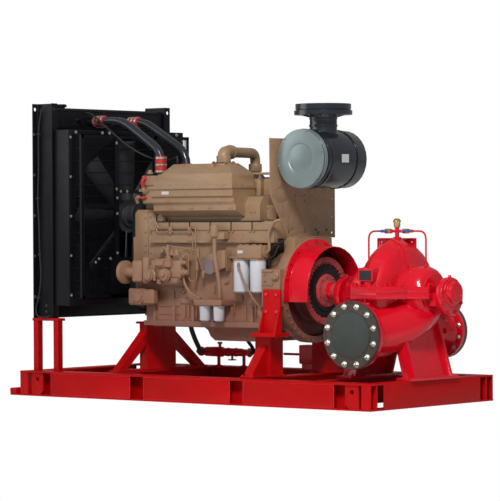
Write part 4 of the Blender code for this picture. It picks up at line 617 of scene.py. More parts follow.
@piece("iron", "zinc")
def radiator_bolts(made):
    for side in (-1, 1):
        for i in range(5):
            made.bolt((-1.232, side * 0.644, 0.771 + 0.3 * i), "X", 0.009, 0.007)
    made.bolts(-1.232, (-0.584, -0.286, -0.205, 0.15, 0.45, 0.584), 2.01, "X", 0.01, 0.008)
    for y, z in ((-0.23, 1.932), (-0.233, 1.578), (-0.184, 1.559), (-0.113, 1.559), (0.23, 1.932),
                 (0.184, 1.559)):
        made.bolt((GUARD_FRONT, y, z), "X", 0.009, 0.007)
    for y, z in ((-0.225, 1.509), (-0.225, 1.389), (-0.225, 1.087), (-0.306, 1.045), (-0.436, 1.045),
                 (-0.473, 1.019)):
        made.bolt((GUARD_FRONT, y, z), "X", 0.009, 0.007)
        made.bolt((GUARD_FRONT, -y, z), "X", 0.009, 0.007)


@piece("iron")
def post_bolts(made):
    for side, turn in SIDES:
        for i in range(5):
            made.bolt((-1.387, side * 0.63, 0.758 + 0.309 * i), "X", 0.008, 0.006)
            made.bolt((-1.574, side * 0.685, 0.757 + 0.31 * i), turn, 0.008, 0.006)
        for x, z in ((-1.508, 0.686), (-1.433, 0.684), (-1.508, 0.64), (-1.433, 0.638)):
            made.bolt((x, side * 0.63, z), turn, 0.009, 0.007)


@piece("black")
def core_fins(made):
    """Tube rows and fins of the core, in front of its plain block."""
    for x, depth in ((-1.417, 0.006), (-1.565, -0.006)):
        for i in range(60):
            y = -0.605 + 1.21 * i / 59
            made.slab((x - 0.0015, x + depth), (y - 0.0022, y + 0.0022), (0.75, 2.028))
        for i in range(32):
            z = 0.77 + 1.24 * i / 31
            made.slab((x - 0.001, x + depth * 0.5), (-0.612, 0.612), (z - 0.0025, z + 0.0025))


@piece("black", bevel=0.0015)
def tank_trim(made):
    """Seams, cap rim, drain tap and sensor of the two tanks."""
    for z in (2.062, 2.176):
        made.slab((-1.4085, -1.4035), (-0.6, 0.6), (z, z + 0.012))
        made.slab((-1.579, -1.5745), (-0.6, 0.6), (z, z + 0.012))
    made.slab((-1.4075, -1.402), (-0.6, 0.6), (0.7, 0.712))
    made.boss("X", (-1.408, -0.38, 2.11), 12, 0.014, 0.02, (0.022, 0.009), (0.045, 0.009))
    made.boss("X", (-1.408, -0.38, 2.11), 6, 0.02, 0.004, (0.012, 0.012), (0.018, 0.012))
    made.boss("X", (-1.408, 0.4, 0.64), 12, 0.016, 0.018, (0.02, 0.01), (0.05, 0.01))
    for i in range(8):
        angle = pi * i / 4
        made.slab((-1.49 - 0.005 + 0.043 * cos(angle), -1.49 + 0.005 + 0.043 * cos(angle)),
                  (-0.48 - 0.005 + 0.043 * sin(angle), -0.48 + 0.005 + 0.043 * sin(angle)), (2.21, 2.228))


@piece("rubber", bevel=0.001)
def overflow_line(made):
    route = [(-1.436, -0.6205, 2.224), (-1.452, -0.655, 2.222), (-1.475, -0.69, 2.195), (-1.499, -0.693, 2.14)]
    route += [(-1.519, -0.693, 2.00), (-1.522, -0.693, 1.73), (-1.531, -0.693, 1.51), (-1.52, -0.693, 1.29)]
    route += [(-1.514, -0.693, 1.08), (-1.503, -0.693, 0.91), (-1.53, -0.693, 0.75), (-1.556, -0.694, 0.665)]
    route += [(-1.54, -0.694, 0.612), (-1.47, -0.694, 0.6), (-1.4, -0.692, 0.612)]
    made.tube(route, 0.0062, 10, 6)
    for z, x in ((2.00, -1.519), (1.51, -1.531), (1.08, -1.514), (0.75, -1.53)):
        made.slab((x - 0.014, x + 0.014), (-0.7005, -0.6846), (z - 0.007, z + 0.007))


def band(made, axis, centre, radius, width=0.014):
    """Worm drive clamp round a hose."""
    half = width / 2
    made.hoop(axis, centre, radius - 0.001, radius + 0.0022, -half, half, 28)


def red_cuffs():
    """Hose sleeves at both ends of the coolant pipes, with their clamps."""
    cuffs = Maker("hose_cuffs")
    bands = Maker("hose_clamps")
    for y, landing, low in ((-0.235, -0.68, 1.69), (0.16, -0.765, 1.64)):
        profile = [(-1.352, 0.0385), (-1.349, 0.0435), (-1.33, 0.0435), (-1.326, 0.0425), (-1.288, 0.0425),
                   (-1.284, 0.0435), (-1.262, 0.0435), (-1.249, 0.0435), (-1.246, 0.0385)]
        cuffs.lathe(profile, "X", (0, y, PIPE_Z), 28)
        for x in (-1.336, -1.298, -1.262):
            band(bands, "X", (x, y, PIPE_Z), 0.0435)
            bands.bolt((x, y - 0.04, 2.118), "Y", 0.006, 0.01, False)
        for start, end in ((low + 0.004, low + 0.062), (low + 0.072, low + 0.132)):
            rings = [(start, 0.039), (start + 0.003, 0.044), (end - 0.003, 0.044), (end, 0.039)]
            cuffs.lathe(rings, "Z", (landing, y, 0), 28)
        band(bands, "Z", (landing, y, low + 0.067), 0.043, 0.012)
        band(bands, "Z", (landing, y, low + 0.016), 0.044)
        band(bands, "Z", (landing, y, low + 0.118), 0.044)
        bands.bolt((landing + 0.02, y - 0.04, low + 0.067), "X", 0.006, 0.01, False)
    cuffs.done("grey", "silicone", bevel=0.001)
    bands.done("iron", "zinc")


red_cuffs()


# Engine fittings
NEAR_FACE = -0.335
COVER_JOINTS = [-0.515, -0.3135, -0.112, 0.0895, 0.291]


@piece("engine")
def cooler_bolts(made):
    for i in range(10):
        x = -0.517 + 0.0797 * i
        made.bolt((x, -0.4465, 1.59), "Z", 0.0055, 0.006, False)
        made.bolt((x, -0.452, 1.579), "-Y", 0.0045, 0.003, False)
    for x in (-0.43, -0.24, -0.05, 0.147):
        made.bolts((x - 0.014, x + 0.014), -0.405, 1.425, "-Y", 0.008, 0.007)
    for i in range(4):
        made.bolt((0.202, -0.405 + 0.065 * i, 1.59), "Z", 0.0055, 0.006, False)


@piece("engine", bevel=0.002)
def crossover_castings(made):
    """Inlet casting on the cover, the pipe's joint flange and its far clamp."""
    made.tube([(-0.055, -0.24, 1.76), (-0.055, -0.24, 1.795), (-0.06, -0.222, 1.832), (-0.074, -0.165, 1.842),
               (-0.086, -0.118, 1.842)], 0.0475, 24, 6)
    for start, radius in ((0.185, 0.0545), (0.222, 0.0525)):
        ends = [(-0.055 - 0.135 * t, -0.24 + 0.535 * t, 1.842) for t in (start, start + 0.026)]
        made.tube(ends, radius, 24, 1)
    made.slab((-0.118, 0.012), (-0.302, -0.186), (1.756, 1.7655))
    made.bolts((-0.108, 0.002), (-0.292, -0.196), 1.7655, "Z", 0.008, 0.008)
    made.slab((-0.158, -0.075), (-0.335, -0.285), (1.722, 1.752))
    for turn in (0.4, 1.9, 3.6, 5.1):
        along = Vector((-0.135, 0.535, 0)).normalized()
        side = along.cross(Vector((0, 0, 1)))
        place = Vector((-0.078, -0.148, 1.842)) + (side * cos(turn) + Vector((0, 0, 1)) * sin(turn)) * 0.047
        made.tube([place, place + along * 0.03], 0.006, 6, 1)


@piece("engine", bevel=0.0015)
def cooler_outlet(made):
    web = ((0.196, 1.505), (0.262, 1.44), (0.252, 1.44), (0.196, 1.49))
    made.skin([[(x, y, z) for x, z in web] for y in (-0.255, -0.247)])
    made.bolts((0.25, 0.285), -0.296, 1.395, "-Y", 0.008, 0.007)
    made.bolts((0.345, 0.415), -0.211, (1.345, 1.425), "-Y", 0.007, 0.006)
    made.tube([(0.017, -0.165, 1.66), (0.03, -0.15, 1.677), (0.1, -0.15, 1.677), (0.3, -0.15, 1.677),
               (0.33, -0.14, 1.675), (0.35, -0.1, 1.66), (0.355, -0.08, 1.63)], 0.01, 10, 5)


@piece("engine")
def head_fittings(made):
    """Rocker cover studs, nozzle bosses and the drain rail beside them."""
    for i in range(6):
        x = -0.606 + 0.1835 * i
        made.stud((x, -0.04, 1.6395), "Z", 0.013, 0.03)
        pair = (x - 0.062, x + 0.062)
        made.bolts(pair, -0.13, 1.5, "Z", 0.012, 0.012)
        made.bolts(pair, 0.2, 1.5, "Z", 0.012, 0.012)
        made.boss("Z", (x + 0.045, 0.19, 1.498), 12, 0.02, 0.05, (0.055, 0.014), (0.1, 0.014))
    made.tube([(-0.62, 0.185, 1.565), (-0.2, 0.185, 1.567), (0.36, 0.185, 1.565)], 0.009, 8, 3)


@piece("engine", bevel=0.001)
def cover_details(made):
    for x in COVER_JOINTS:
        pair = (x - 0.018, x + 0.018)
        made.bolts(pair, NEAR_FACE, 1.181, "-Y", 0.0075, 0.006)
        made.bolts(pair, NEAR_FACE, 1.252, "-Y", 0.006, 0.005)
    made.boss("-Y", (-0.61, -0.3, 1.347), 20, 0.04, 0.018, (0.024, 0.033), (0.03, 0.033))
    made.boss("-Y", (-0.575, -0.3, 1.108), 16, 0.032, 0.03, (0.036, 0.02), (0.055, 0.018))


@piece("rubber")
def cover_joints_and_shadow(made):
    """Painted shadow in the groove over the row of covers, and dark joints between its doors."""
    # dark sheet where the groove over the covers lies in shade: painted shadow
    made.slab((-0.632, 0.38), (-0.3365, -0.3), (1.3225, 1.3292))
    for x in COVER_JOINTS:
        made.slab((x - 0.0035, x + 0.0035), (NEAR_FACE - 0.0008, NEAR_FACE + 0.01), (1.262, 1.3225))


@piece("engine", bevel=0.0006)
def fuel_lines(made):
    y = NEAR_FACE - 0.012
    made.tube([(-0.64, -0.315, 1.405), (-0.644, y, 1.345), (-0.616, y, 1.287), (-0.6, y, 1.277),
               (-0.52, y, 1.277), (-0.3, y, 1.277), (-0.252, y, 1.276), (-0.243, y, 1.262), (-0.243, y, 1.2),
               (-0.243, y, 1.135)], 0.0045, 8)
    made.tube([(-0.658, -0.315, 1.405), (-0.657, y, 1.345), (-0.628, y, 1.262), (-0.612, y, 1.25),
               (-0.52, y, 1.249), (-0.31, y, 1.249), (-0.28, y, 1.246), (-0.272, y, 1.23), (-0.272, y, 1.18),
               (-0.272, y, 1.125)], 0.0045, 8)
    for x in (-0.489, -0.3):
        made.slab((x - 0.014, x + 0.014), (y - 0.008, NEAR_FACE + 0.003), (1.238, 1.288))
        made.bolt((x, y - 0.008, 1.263), "-Y", 0.009, 0.008)
    made.tube([(-0.33, -0.4, 1.055), (-0.315, -0.385, 1.078), (-0.296, -0.372, 1.07), (-0.296, -0.37, 0.95),
               (-0.29, -0.37, 0.9), (-0.27, -0.37, 0.882), (-0.24, -0.37, 0.88), (-0.217, -0.37, 0.905),
               (-0.211, -0.37, 0.95), (-0.208, -0.37, 1.02)], 0.0055, 8)
    made.tube([(-0.38, -0.41, 1.07), (-0.4, -0.4, 1.098), (-0.36, -0.39, 1.106), (-0.3, -0.38, 1.106),
               (-0.285, -0.37, 1.09), (-0.283, -0.36, 1.05)], 0.005, 8)
    made.tube([(-0.345, -0.4, 1.03), (-0.338, -0.392, 0.99), (-0.336, -0.385, 0.93), (-0.317, -0.385, 0.855),
               (-0.26, -0.388, 0.795), (-0.185, -0.395, 0.76), (-0.15, -0.4, 0.752)], 0.0105, 12)
    made.tube([(-0.463, -0.4, 1.145), (-0.3, -0.4, 1.126), (-0.171, -0.4, 1.112)], 0.0042, 8, 1)
    made.slab((-0.182, -0.16), (-0.408, -0.392), (1.06, 1.122))
    made.slab((-0.476, -0.455), (-0.412, -0.39), (1.07, 1.152))
    made.tube([(-0.172, -0.4, 1.075), (-0.16, -0.398, 1.03), (-0.15, -0.385, 0.99), (-0.15, -0.37, 0.93)],
              0.006, 8)
    made.lathe([(0, 0.008), (0.012, 0.014), (0.07, 0.014), (0.075, 0.009), (0.105, 0.009)], "Z",
               (-0.208, -0.37, 0.955), 12)
    made.lathe([(0, 0.008), (0.01, 0.012), (0.05, 0.012), (0.06, 0.007)], "Z", (-0.15, -0.37, 0.905), 12)
    made.boss("Z", (-0.345, -0.4, 1.005), 6, 0.014, 0.014, (0.016, 0.0115), (0.05, 0.0115))


@piece("engine", bevel=0.0012)
def fuel_pump_castings(made):
    """Covers, flanges and bolts on the fuel pump and its drive."""
    near = -0.44
    made.boss("-Y", (-0.462, near, 0.925), 20, 0.052, 0.01, (0.014, 0.045), (0.026, 0.042), (0.03, 0.03))
    made.boss("-Y", (-0.462, near, 0.925), 6, 0.014, 0.042, (0.046, 0.01))
    made.bolt_circle("-Y", (-0.462, near - 0.012, 0.925), 0.042, 6, 0.3, 0.0065, 0.006, False)
    made.slab((-0.56, -0.405), (near - 0.01, near + 0.02), (0.985, 1.048))
    made.slab((-0.545, -0.47), (near - 0.022, near), (0.998, 1.036))
    for x in (-0.55, -0.512, -0.455, -0.415):
        made.bolt((x, near - 0.01, 1.04), "-Y", 0.0065, 0.006)
        made.bolt((x, near - 0.01, 0.993), "-Y", 0.0065, 0.006)
    made.boss("-Y", (-0.62, near, 0.925), 20, 0.045, 0.015, (0.02, 0.036), (0.032, 0.034))
    made.bolt_circle("-Y", (-0.62, near - 0.014, 0.925), 0.04, 4, 0.4, 0.0075, 0.007, False)
    made.tube([(-0.585, near - 0.006, 0.965), (-0.56, near - 0.012, 0.93), (-0.565, near - 0.008, 0.885)],
              0.012, 10)
    made.boss("X", (-0.332, -0.395, 0.945), 16, 0.03, 0.02, (0.024, 0.022), (0.055, 0.022), (0.06, 0.014))
    made.boss("X", (-0.332, -0.405, 1.02), 12, 0.022, 0.016, (0.02, 0.014), (0.045, 0.014))
    made.boss("Z", (-0.385, -0.395, 1.073), 14, 0.026, 0.012, (0.016, 0.017), (0.04, 0.015))
    made.boss("Z", (-0.44, -0.39, 1.073), 6, 0.018, 0.02, (0.024, 0.012), (0.04, 0.01))
    made.slab((-0.405, -0.34), (near - 0.004, near + 0.03), (0.868, 0.905))
    made.slab((-0.545, -0.505), (near - 0.006, near + 0.02), (0.862, 0.892))
    made.bolts((-0.395, -0.35, -0.535, -0.515), near - 0.006, 0.88, "-Y", 0.006, 0.005)
    for place in around("-Y", (-0.413, -0.3, 0.822), 0.028, 3, 0.1):
        made.bolt(place + Vector((0, -0.012, 0)), "-Y", 0.007, 0.006)
    made.boss("-Y", (-0.413, -0.3, 0.822), 18, 0.04, 0.012, (0.014, 0.016), (0.02, 0.016))


@piece("engine", bevel=0.001)
def gear_case_details(made):
    made.slab((-0.768, -0.757), (-0.3015, -0.29), (0.86, 1.4))
    made.bolts(-0.785, -0.295, (1.355, 1.25, 1.149, 1.1, 1.033, 0.96, 0.88), "-Y", 0.009, 0.007)
    made.bolts(-0.735, -0.295, (1.36, 1.27, 1.18, 1.09, 1.0), "-Y", 0.008, 0.006)
    made.bolts(-0.9, -0.27, (1.3, 1.18, 1.06), "-X", 0.009, 0.007)
    made.slab((-0.905, -0.888), (-0.3, -0.265), (0.98, 1.21))
    made.lathe([(-0.002, 0.057), (0.009, 0.057), (0.011, 0.038), (0.02, 0.036)], "-Y", (-0.772, -0.395, 0.757),
               24)
    made.bolt_circle("-Y", (-0.772, -0.404, 0.757), 0.047, 7, 0.2, 0.0065, 0.006)
    made.bolts(-0.857, -0.395, (0.725, 0.793), "-Y", 0.0075, 0.006)


@piece("engine", bevel=0.0015)
def block_details(made):
    y = -0.3
    made.slab((-0.4365, -0.314), (y - 0.01, y + 0.01), (0.712, 0.748))
    made.bolts((-0.425, -0.326), y - 0.01, 0.73, "-Y", 0.007, 0.006)
    for x, low, high in ((-0.635, 0.743, 0.818), (-0.498, 0.743, 0.803), (-0.286, 0.795, 0.865),
                         (-0.1, 0.79, 0.85)):
        made.slab((x - 0.006, x + 0.006), (y - 0.008, y + 0.01), (low, high))
    for i in range(5):
        x = -0.385 + 0.038 * i
        made.slab((x - 0.005, x + 0.005), (y - 0.012, y + 0.01), (0.605, 0.7))
    for x, low, high in ((0.1, 0.64, 0.73), (0.205, 0.6, 0.7), (0.3, 0.62, 0.72)):
        made.slab((x - 0.005, x + 0.005), (y - 0.01, y + 0.01), (low, high))
    made.slab((-0.64, -0.44), (y - 0.006, y + 0.01), (0.625, 0.633))
    made.slab((-0.64, -0.44), (y - 0.006, y + 0.01), (0.688, 0.696))
    made.slab((0.09, 0.31), (y - 0.006, y + 0.01), (0.715, 0.723))
    for i in range(14):
        made.bolt((-0.745 + 0.0805 * i, -0.318, 0.4355 + 0.1215), "Z", 0.009, 0.008)
    for i in range(7):
        made.bolt((-0.5 + 0.085 * i, y, 0.59), "-Y", 0.0065, 0.005)
    for x, z in ((-0.22, 0.98), (0.02, 0.88), (0.1, 0.98), (0.16, 0.76)):
        made.boss("-Y", (x, y, z), 14, 0.022, 0.008, (0.012, 0.014), (0.018, 0.014))


@piece("engine", bevel=0.0008)
def oil_fittings(made):
    made.tube([(0.593, -0.37, 1.333), (0.545, -0.375, 1.325), (0.509, -0.37, 1.293), (0.478, -0.37, 1.24),
               (0.474, -0.37, 1.2), (0.482, -0.37, 1.151), (0.48, -0.37, 1.115), (0.455, -0.37, 1.1),
               (0.43, -0.37, 1.097)], 0.011, 12)
    made.boss("X", (0.43, -0.37, 1.097), 6, 0.018, 0.02, (0.022, 0.013), (0.04, 0.013))
    made.boss("X", (0.4395, -0.36, 1.1), 20, 0.044, 0.012, (0.015, 0.038))
    made.bolt_circle("X", (0.4395, -0.36, 1.1), 0.036, 5, 0.2, 0.006, 0.016, False)
    for x in (0.235, 0.3, 0.37):
        made.bolt((x, -0.395, 1.149), "Z", 0.01, 0.008)
        made.bolt((x, -0.335, 1.149), "Z", 0.01, 0.008)
    for x in (0.2215, 0.3765):
        made.hoop("Z", (x, -0.373, 0), 0.04, 0.0625, 1.04, 1.052, 24)
    made.tube([(0.255, -0.448, 1.000), (0.263, -0.45, 0.985), (0.3, -0.448, 0.9), (0.36, -0.43, 0.78),
               (0.405, -0.395, 0.7), (0.415, -0.36, 0.655), (0.412, -0.32, 0.635)], 0.008, 10)
    made.boss("Z", (0.255, -0.448, 0.985), 10, 0.012, 0.03, (0.034, 0.007))
    made.tube([(0.243, -0.448, 1.012), (0.255, -0.449, 1.022), (0.267, -0.448, 1.012), (0.255, -0.449, 1.000)],
              0.003, 6)
    made.boss("-Y", (0.395, -0.3, 0.66), 14, 0.03, 0.014, (0.018, 0.02), (0.03, 0.018))


@piece("white", bevel=0.001)
def filter_seams(made):
    """Rolled seams and bottom nuts of the spin-on filters."""
    for x in (0.2215, 0.3765):
        made.hoop("Z", (x, -0.373, 0), 0.045, 0.0607, 1.028, 1.034, 28)
        made.hoop("Z", (x, -0.373, 0), 0.045, 0.0605, 0.812, 0.818, 28)


@piece("rubber")
def dark_hoses(made):
    made.tube([(0.555, -0.27, 1.195), (0.53, -0.3, 1.17), (0.495, -0.32, 1.15), (0.465, -0.33, 1.115),
               (0.452, -0.33, 1.078), (0.468, -0.33, 1.058), (0.495, -0.325, 1.08), (0.51, -0.315, 1.12),
               (0.52, -0.3, 1.15)], 0.0065, 10)
    made.tube([(0.452, -0.33, 1.075), (0.445, -0.33, 1.03), (0.44, -0.32, 0.98)], 0.0055, 8)


@piece("black", "blade", body="fan_body", bevel=0.0015)
def pulley_hub(made):
    """Bearing cap and bolts on the fan's pulley."""
    made.lathe([(-1.002, 0.112), (-0.994, 0.112), (-0.99, 0.098), (-0.986, 0.06), (-0.972, 0.056),
                (-0.968, 0.036), (-0.958, 0.034)], "X", (0, 0, 1.37), 40)
    made.bolt_circle("X", (-0.99, 0, 1.37), 0.084, 6, 0.2, 0.009, 0.01)


@piece("grey", "panel", bevel=0.001)
def control_box_panel(made):
    outline = ((-0.168, 1.052), (-0.143, 0.945), (-0.078, 0.932), (-0.04, 0.95), (-0.06, 1.04), (-0.15, 1.056))
    made.skin([[(x, y, z) for x, z in outline] for y in (-0.3755, -0.372)])


@piece("engine", bevel=0.001)
def control_box_face(made):
    made.slab((-0.168, -0.1655), (-0.366, -0.306), (0.95, 1.045))
    made.slab((0.0605, 0.066), (-0.36, -0.306), (0.96, 1.085))
    made.slab((0.066, 0.16), (-0.33, -0.3), (1.052, 1.066))
    made.bolts(0.066, (-0.355, -0.317), (1.06, 0.985), "X", 0.006, 0.005)


@piece("red", "silicone")
def front_hoses(made):
    """Red hose stubs in front of the thermostat housing."""
    made.tube([(-0.79, -0.262, 1.665), (-0.806, -0.29, 1.65), (-0.812, -0.3, 1.62), (-0.808, -0.292, 1.585)],
              0.015, 14)
    made.tube([(-0.8, -0.262, 1.505), (-0.812, -0.29, 1.506), (-0.836, -0.3, 1.51)], 0.011, 12)


@piece("engine", bevel=0.001)
def front_elbows(made):
    made.tube([(-0.836, -0.3, 1.51), (-0.856, -0.302, 1.513), (-0.872, -0.298, 1.5), (-0.875, -0.28, 1.47)],
              0.014, 12)
    made.tube([(-0.808, -0.292, 1.585), (-0.806, -0.288, 1.56), (-0.8, -0.265, 1.545)], 0.018, 12)
    made.boss("Z", (-0.79, -0.235, 1.688), 12, 0.026, 0.012, (0.016, 0.018), (0.03, 0.016))
    made.slab((-0.862, -0.77), (-0.283, -0.276), (1.555, 1.575))


# Air cleaner and its plate
PLATE_HOLES = [(-0.168, 1.241, 0.01), (0.022, 1.24, 0.01), (0.178, 1.238, 0.01), (0.35, 1.237, 0.01)]
PLATE_HOLES += [(0.354, 1.355, 0.007), (0.356, 1.489, 0.007), (-0.094, 1.512, 0.007), (-0.095, 1.482, 0.007)]
PLATE_HOLES += [(0.018, 1.515, 0.005), (0.016, 1.477, 0.007), (0.12, 1.532, 0.006), (0.15, 1.491, 0.005)]
PLATE_HOLES += [(0.151, 1.355, 0.006), (-0.223, 1.353, 0.005), (-0.161, 1.352, 0.005), (-0.224, 1.457, 0.005)]
PLATE_HOLES += [(-0.273, 1.457, 0.005), (-0.297, 1.562, 0.005), (0.229, 1.564, 0.006), (0.314, 1.564, 0.006)]
CAP_CENTRE = (0.746, 1.776)


def drilled_plate():
    """The cleaner's plate with its rows of holes cut through."""
    plate = clean_copy("cleaner_plate")
    drill = Maker("drill")
    for y, z, radius in PLATE_HOLES:
        drill.lathe([(-0.03, radius), (0.03, radius)], "X", (0.505, y, z), 14)
    cutter = drill.shape()
    step = plate.modifiers.new("holes", "BOOLEAN")
    step.operation = "DIFFERENCE"
    step.solver = "EXACT"
    step.object = cutter
    cut = bpy.data.meshes.new_from_object(plate.evaluated_get(bpy.context.evaluated_depsgraph_get()))
    plate.modifiers.clear()
    plate.data = cut
    cut.materials.clear()
    bpy.data.objects.remove(cutter, do_unlink=True)
    soften(plate, 0.0012)
    settle(plate, body_of["cleaner_plate"], slot_of["cleaner_plate"], ["cleaner_plate"])


drilled_plate()


@piece("silver", bevel=0.0012)
def cleaner_cap_rings(made):
    """Pressed rings of the end cap with its six clips."""
    x, z = CAP_CENTRE
    place = (x, -0.33, z)
    made.lathe([(-0.006, 0.214), (0.0015, 0.214), (0.003, 0.211), (0.003, 0.188), (0.006, 0.182),
                (0.006, 0.114), (0.001, 0.106), (0.001, 0.1), (0.0035, 0.094)], "-Y", place, 64)
    made.hoop("-Y", (x, -0.2905, z), 0.205, 0.2185, -0.004, 0.004, 56)
    made.bolt_circle("-Y", (x, -0.3335, z), 0.205, 6, 0.25, 0.0065, 0.006)


@piece("cleaner", bevel=0.0012)
def cleaner_bands(made):
    x, z = CAP_CENTRE
    for y, width in ((-0.262, 0.012), (-0.216, 0.018), (0.08, 0.016)):
        made.hoop("Y", (x, y, z), 0.2125, 0.2175, -width / 2, width / 2, 56)
    for y in (-0.216, 0.08):
        made.slab((0.515, 0.56), (y - 0.012, y + 0.012), (1.66, 1.7))
        made.bolt((0.56, y, 1.68), "X", 0.007, 0.008)
    made.slab((0.5133, 0.529), (-0.262, -0.215), (1.64, 1.905))


@piece("cleaner", bevel=0.001)
def inlet_trim(made):
    """Clamp bands of the inlet, the rims of its rain cap and the wires between them."""
    x, y = CAP_CENTRE[0], -0.06
    for inner, outer, low, high, sides in (
            (0.0985, 0.1045, 2.012, 2.028, 40), (0.0985, 0.104, 2.068, 2.078, 40),
            (0.15, 0.213, 2.099, 2.131, 56),
            (0.08, 0.204, 2.1385, 2.179, 56), (0.08, 0.198, 2.129, 2.14, 56)):
        made.hoop("Z", (x, y, 0), inner, outer, low, high, sides)
    made.bolt((x, -0.166, 2.02), "X", 0.007, 0.016, False)
    for low, high in zip(around("Z", (x, y, 2.084), 0.1075, 24), around("Z", (x, y, 2.1), 0.1595, 24)):
        made.tube([low, high], 0.003, 4, 1)


@piece("white", "label")
def bare_labels(made):
    """Blank labels, with nothing written on them."""
    made.slab((-0.497, -0.425), (-0.4412, -0.4398), (1.528, 1.551))
    made.slab((0.232, 0.282), (-0.433, -0.4318), (1.09, 1.112))
    made.slab((0.96, 0.9622), (-0.118, -0.036), (1.748, 1.808))


@piece("iron", "plate", bevel=0.0006)
def pump_plate(made):
    made.slab((1.316, 1.42), (-0.3868, -0.3848), (0.903, 0.971))
    made.bolts((1.321, 1.415), -0.3868, (0.908, 0.966), "-Y", 0.0035, 0.003, False)


# Coupling and its guard
TOOTH_COUNT = 38


@piece("red", "pink", body="drive", bevel=0.0008)
def coupling_ring(made):
    """Toothed outer ring bolted to the flywheel."""
    low, high = 0.7098, 0.722
    total = 4 * TOOTH_COUNT
    rows = []
    for x, root, tip in ((low, 0.248, 0.248), (high, 0.248, 0.248), (high, 0.213, 0.199), (low, 0.213, 0.199)):
        row = []
        for i in range(total):
            angle = 2 * pi * i / total
            radius = tip if i % 4 < 2 else root
            row.append((x, radius * cos(angle), SHAFT_Z + radius * sin(angle)))
        rows.append(row)
    made.skin(rows, caps=False)
    made.bolt_circle("X", (high, 0, SHAFT_Z), 0.233, 12, 0.2, 0.008, 0.007)


@piece("red", "pink", body="drive", bevel=0.0012)
def coupling_hub(made):
    made.lathe([(0.706, 0.118), (0.716, 0.122), (0.728, 0.122), (0.734, 0.114), (0.738, 0.09)], "X",
               (0, 0, SHAFT_Z), 40)
    made.lathe([(0.73, 0.08), (0.745, 0.08), (0.752, 0.062), (0.8, 0.056), (0.842, 0.056), (0.848, 0.048)], "X",
               (0, 0, SHAFT_Z), 36)
    made.bolt_circle("X", (0.732, 0, SHAFT_Z), 0.103, 10, 0.15, 0.009, 0.01)


@piece("rubber", body="drive", bevel=0.001)
def coupling_plates(made):
    made.hoop("X", (0, 0, SHAFT_Z), 0.12, 0.188, 0.7045, 0.7125, 48)
    made.hoop("X", (0, 0, SHAFT_Z), 0.12, 0.15, 0.712, 0.72, 48)
    made.bolt_circle("X", (0.7125, 0, SHAFT_Z), 0.17, 19, 0, 0.006, 0.006)


@piece("red")
def guard_bolts(made):
    for i in range(11):
        angle = radians(-3 + 18.6 * i)
        y, z = -0.366 * cos(angle), SHAFT_Z + 0.366 * sin(angle)
        if z > 0.82:
            made.bolt((0.6285, y, z), "X", 0.011, 0.01)


@piece("engine", bevel=0.0015)
def bell_details(made):
    """Bolts round the bell's flange and bosses on its pads."""
    for i in range(16):
        angle = radians(200 + 9.3 * i)
        made.bolt((0.6195, 0.368 * cos(angle), SHAFT_Z + 0.368 * sin(angle)), "X", 0.009, 0.009)
    for side, turn in SIDES:
        made.boss(turn, (0.578, side * 0.415, 0.925), 20, 0.034, 0.012, (0.018, 0.026), (0.024, 0.024))
        made.slab((0.45, 0.552), (side * 0.413, side * 0.4225), (0.858, 0.872))
        made.slab((0.45, 0.552), (side * 0.413, side * 0.4225), (0.956, 0.97))
        made.bolts(0.475, side * 0.415, (0.892, 0.938), turn, 0.009, 0.008)
    made.bolts(0.56, (-0.21, -0.07, 0.07, 0.21), 1.1995, "Z", 0.01, 0.009)


# Pump fittings
SPLIT_TOP = 0.855
FLANGE_Z = 0.516
SPLIT_BOLTS = [(0.045, 0.3865), (0.085, 0.383), (0.118, 0.378), (0.146, 0.345), (0.158, 0.3), (0.172, 0.255)]
SPLIT_BOLTS += [(0.208, 0.214), (0.334, 0.15), (0.358, 0.118)]


@piece("red")
def split_bolts(made):
    for side, end in product((-1, 1), (-1, 1)):
        for dx, y in SPLIT_BOLTS:
            made.stud((PUMP_X + end * dx, side * y, SPLIT_TOP), "Z", 0.0125, 0.026)
            made.bolt((PUMP_X + end * dx, side * y, 0.769), "-Z", 0.0115, 0.01)


@piece("red", "dust_and_shadow")
def split_seam(made):
    """Thin dark joint line between the two casings."""
    near = [(0.376, 0.131), (0.346, 0.166), (0.236, 0.196), (0.186, 0.331), (0.116, 0.406)]
    right = near + [(-dx, y) for dx, y in reversed(near)]
    outline = right + [(-dx, -y) for dx, y in right]
    made.skin([[(PUMP_X + dx, y, z) for dx, y in outline] for z in (0.8117, 0.8129)])


@piece("iron", "zinc")
def flange_nuts(made):
    for place in around("-Y", (PUMP_X, -0.557, FLANGE_Z), 0.2095, 12, 0.5):
        made.stud(place, "-Y", 0.0165, 0.03)
    for place in around("Y", (PUMP_X, 0.583, FLANGE_Z), 0.1735, 12, 0.5):
        made.stud(place, "Y", 0.015, 0.028)
    made.bolt_circle("Y", (PUMP_X, -0.4935, FLANGE_Z), 0.2095, 12, 0.5, 0.0165, 0.014)
    made.bolt_circle("-Y", (PUMP_X, 0.5195, FLANGE_Z), 0.1735, 12, 0.5, 0.015, 0.013)


@piece("iron", "blank", bevel=0.0008)
def flange_blanks(made):
    """Blank discs set in the two bare flanges."""
    made.boss("-Y", (PUMP_X, -0.5565, FLANGE_Z), 56, 0.166, 0.0035, (0.005, 0.163))
    made.boss("Y", (PUMP_X, 0.5825, FLANGE_Z), 48, 0.128, 0.0035, (0.005, 0.125))


@piece("iron", bevel=0.0006)
def flange_rings(made):
    """Turned grooves round the blank discs."""
    for inner, outer in ((0.1685, 0.1745), (0.228, 0.2405)):
        made.hoop("-Y", (PUMP_X, -0.557, FLANGE_Z), inner, outer, -0.002, 0.0022, 56)
    for inner, outer in ((0.13, 0.1355), (0.191, 0.2015)):
        made.hoop("Y", (PUMP_X, 0.583, FLANGE_Z), inner, outer, -0.002, 0.0022, 48)


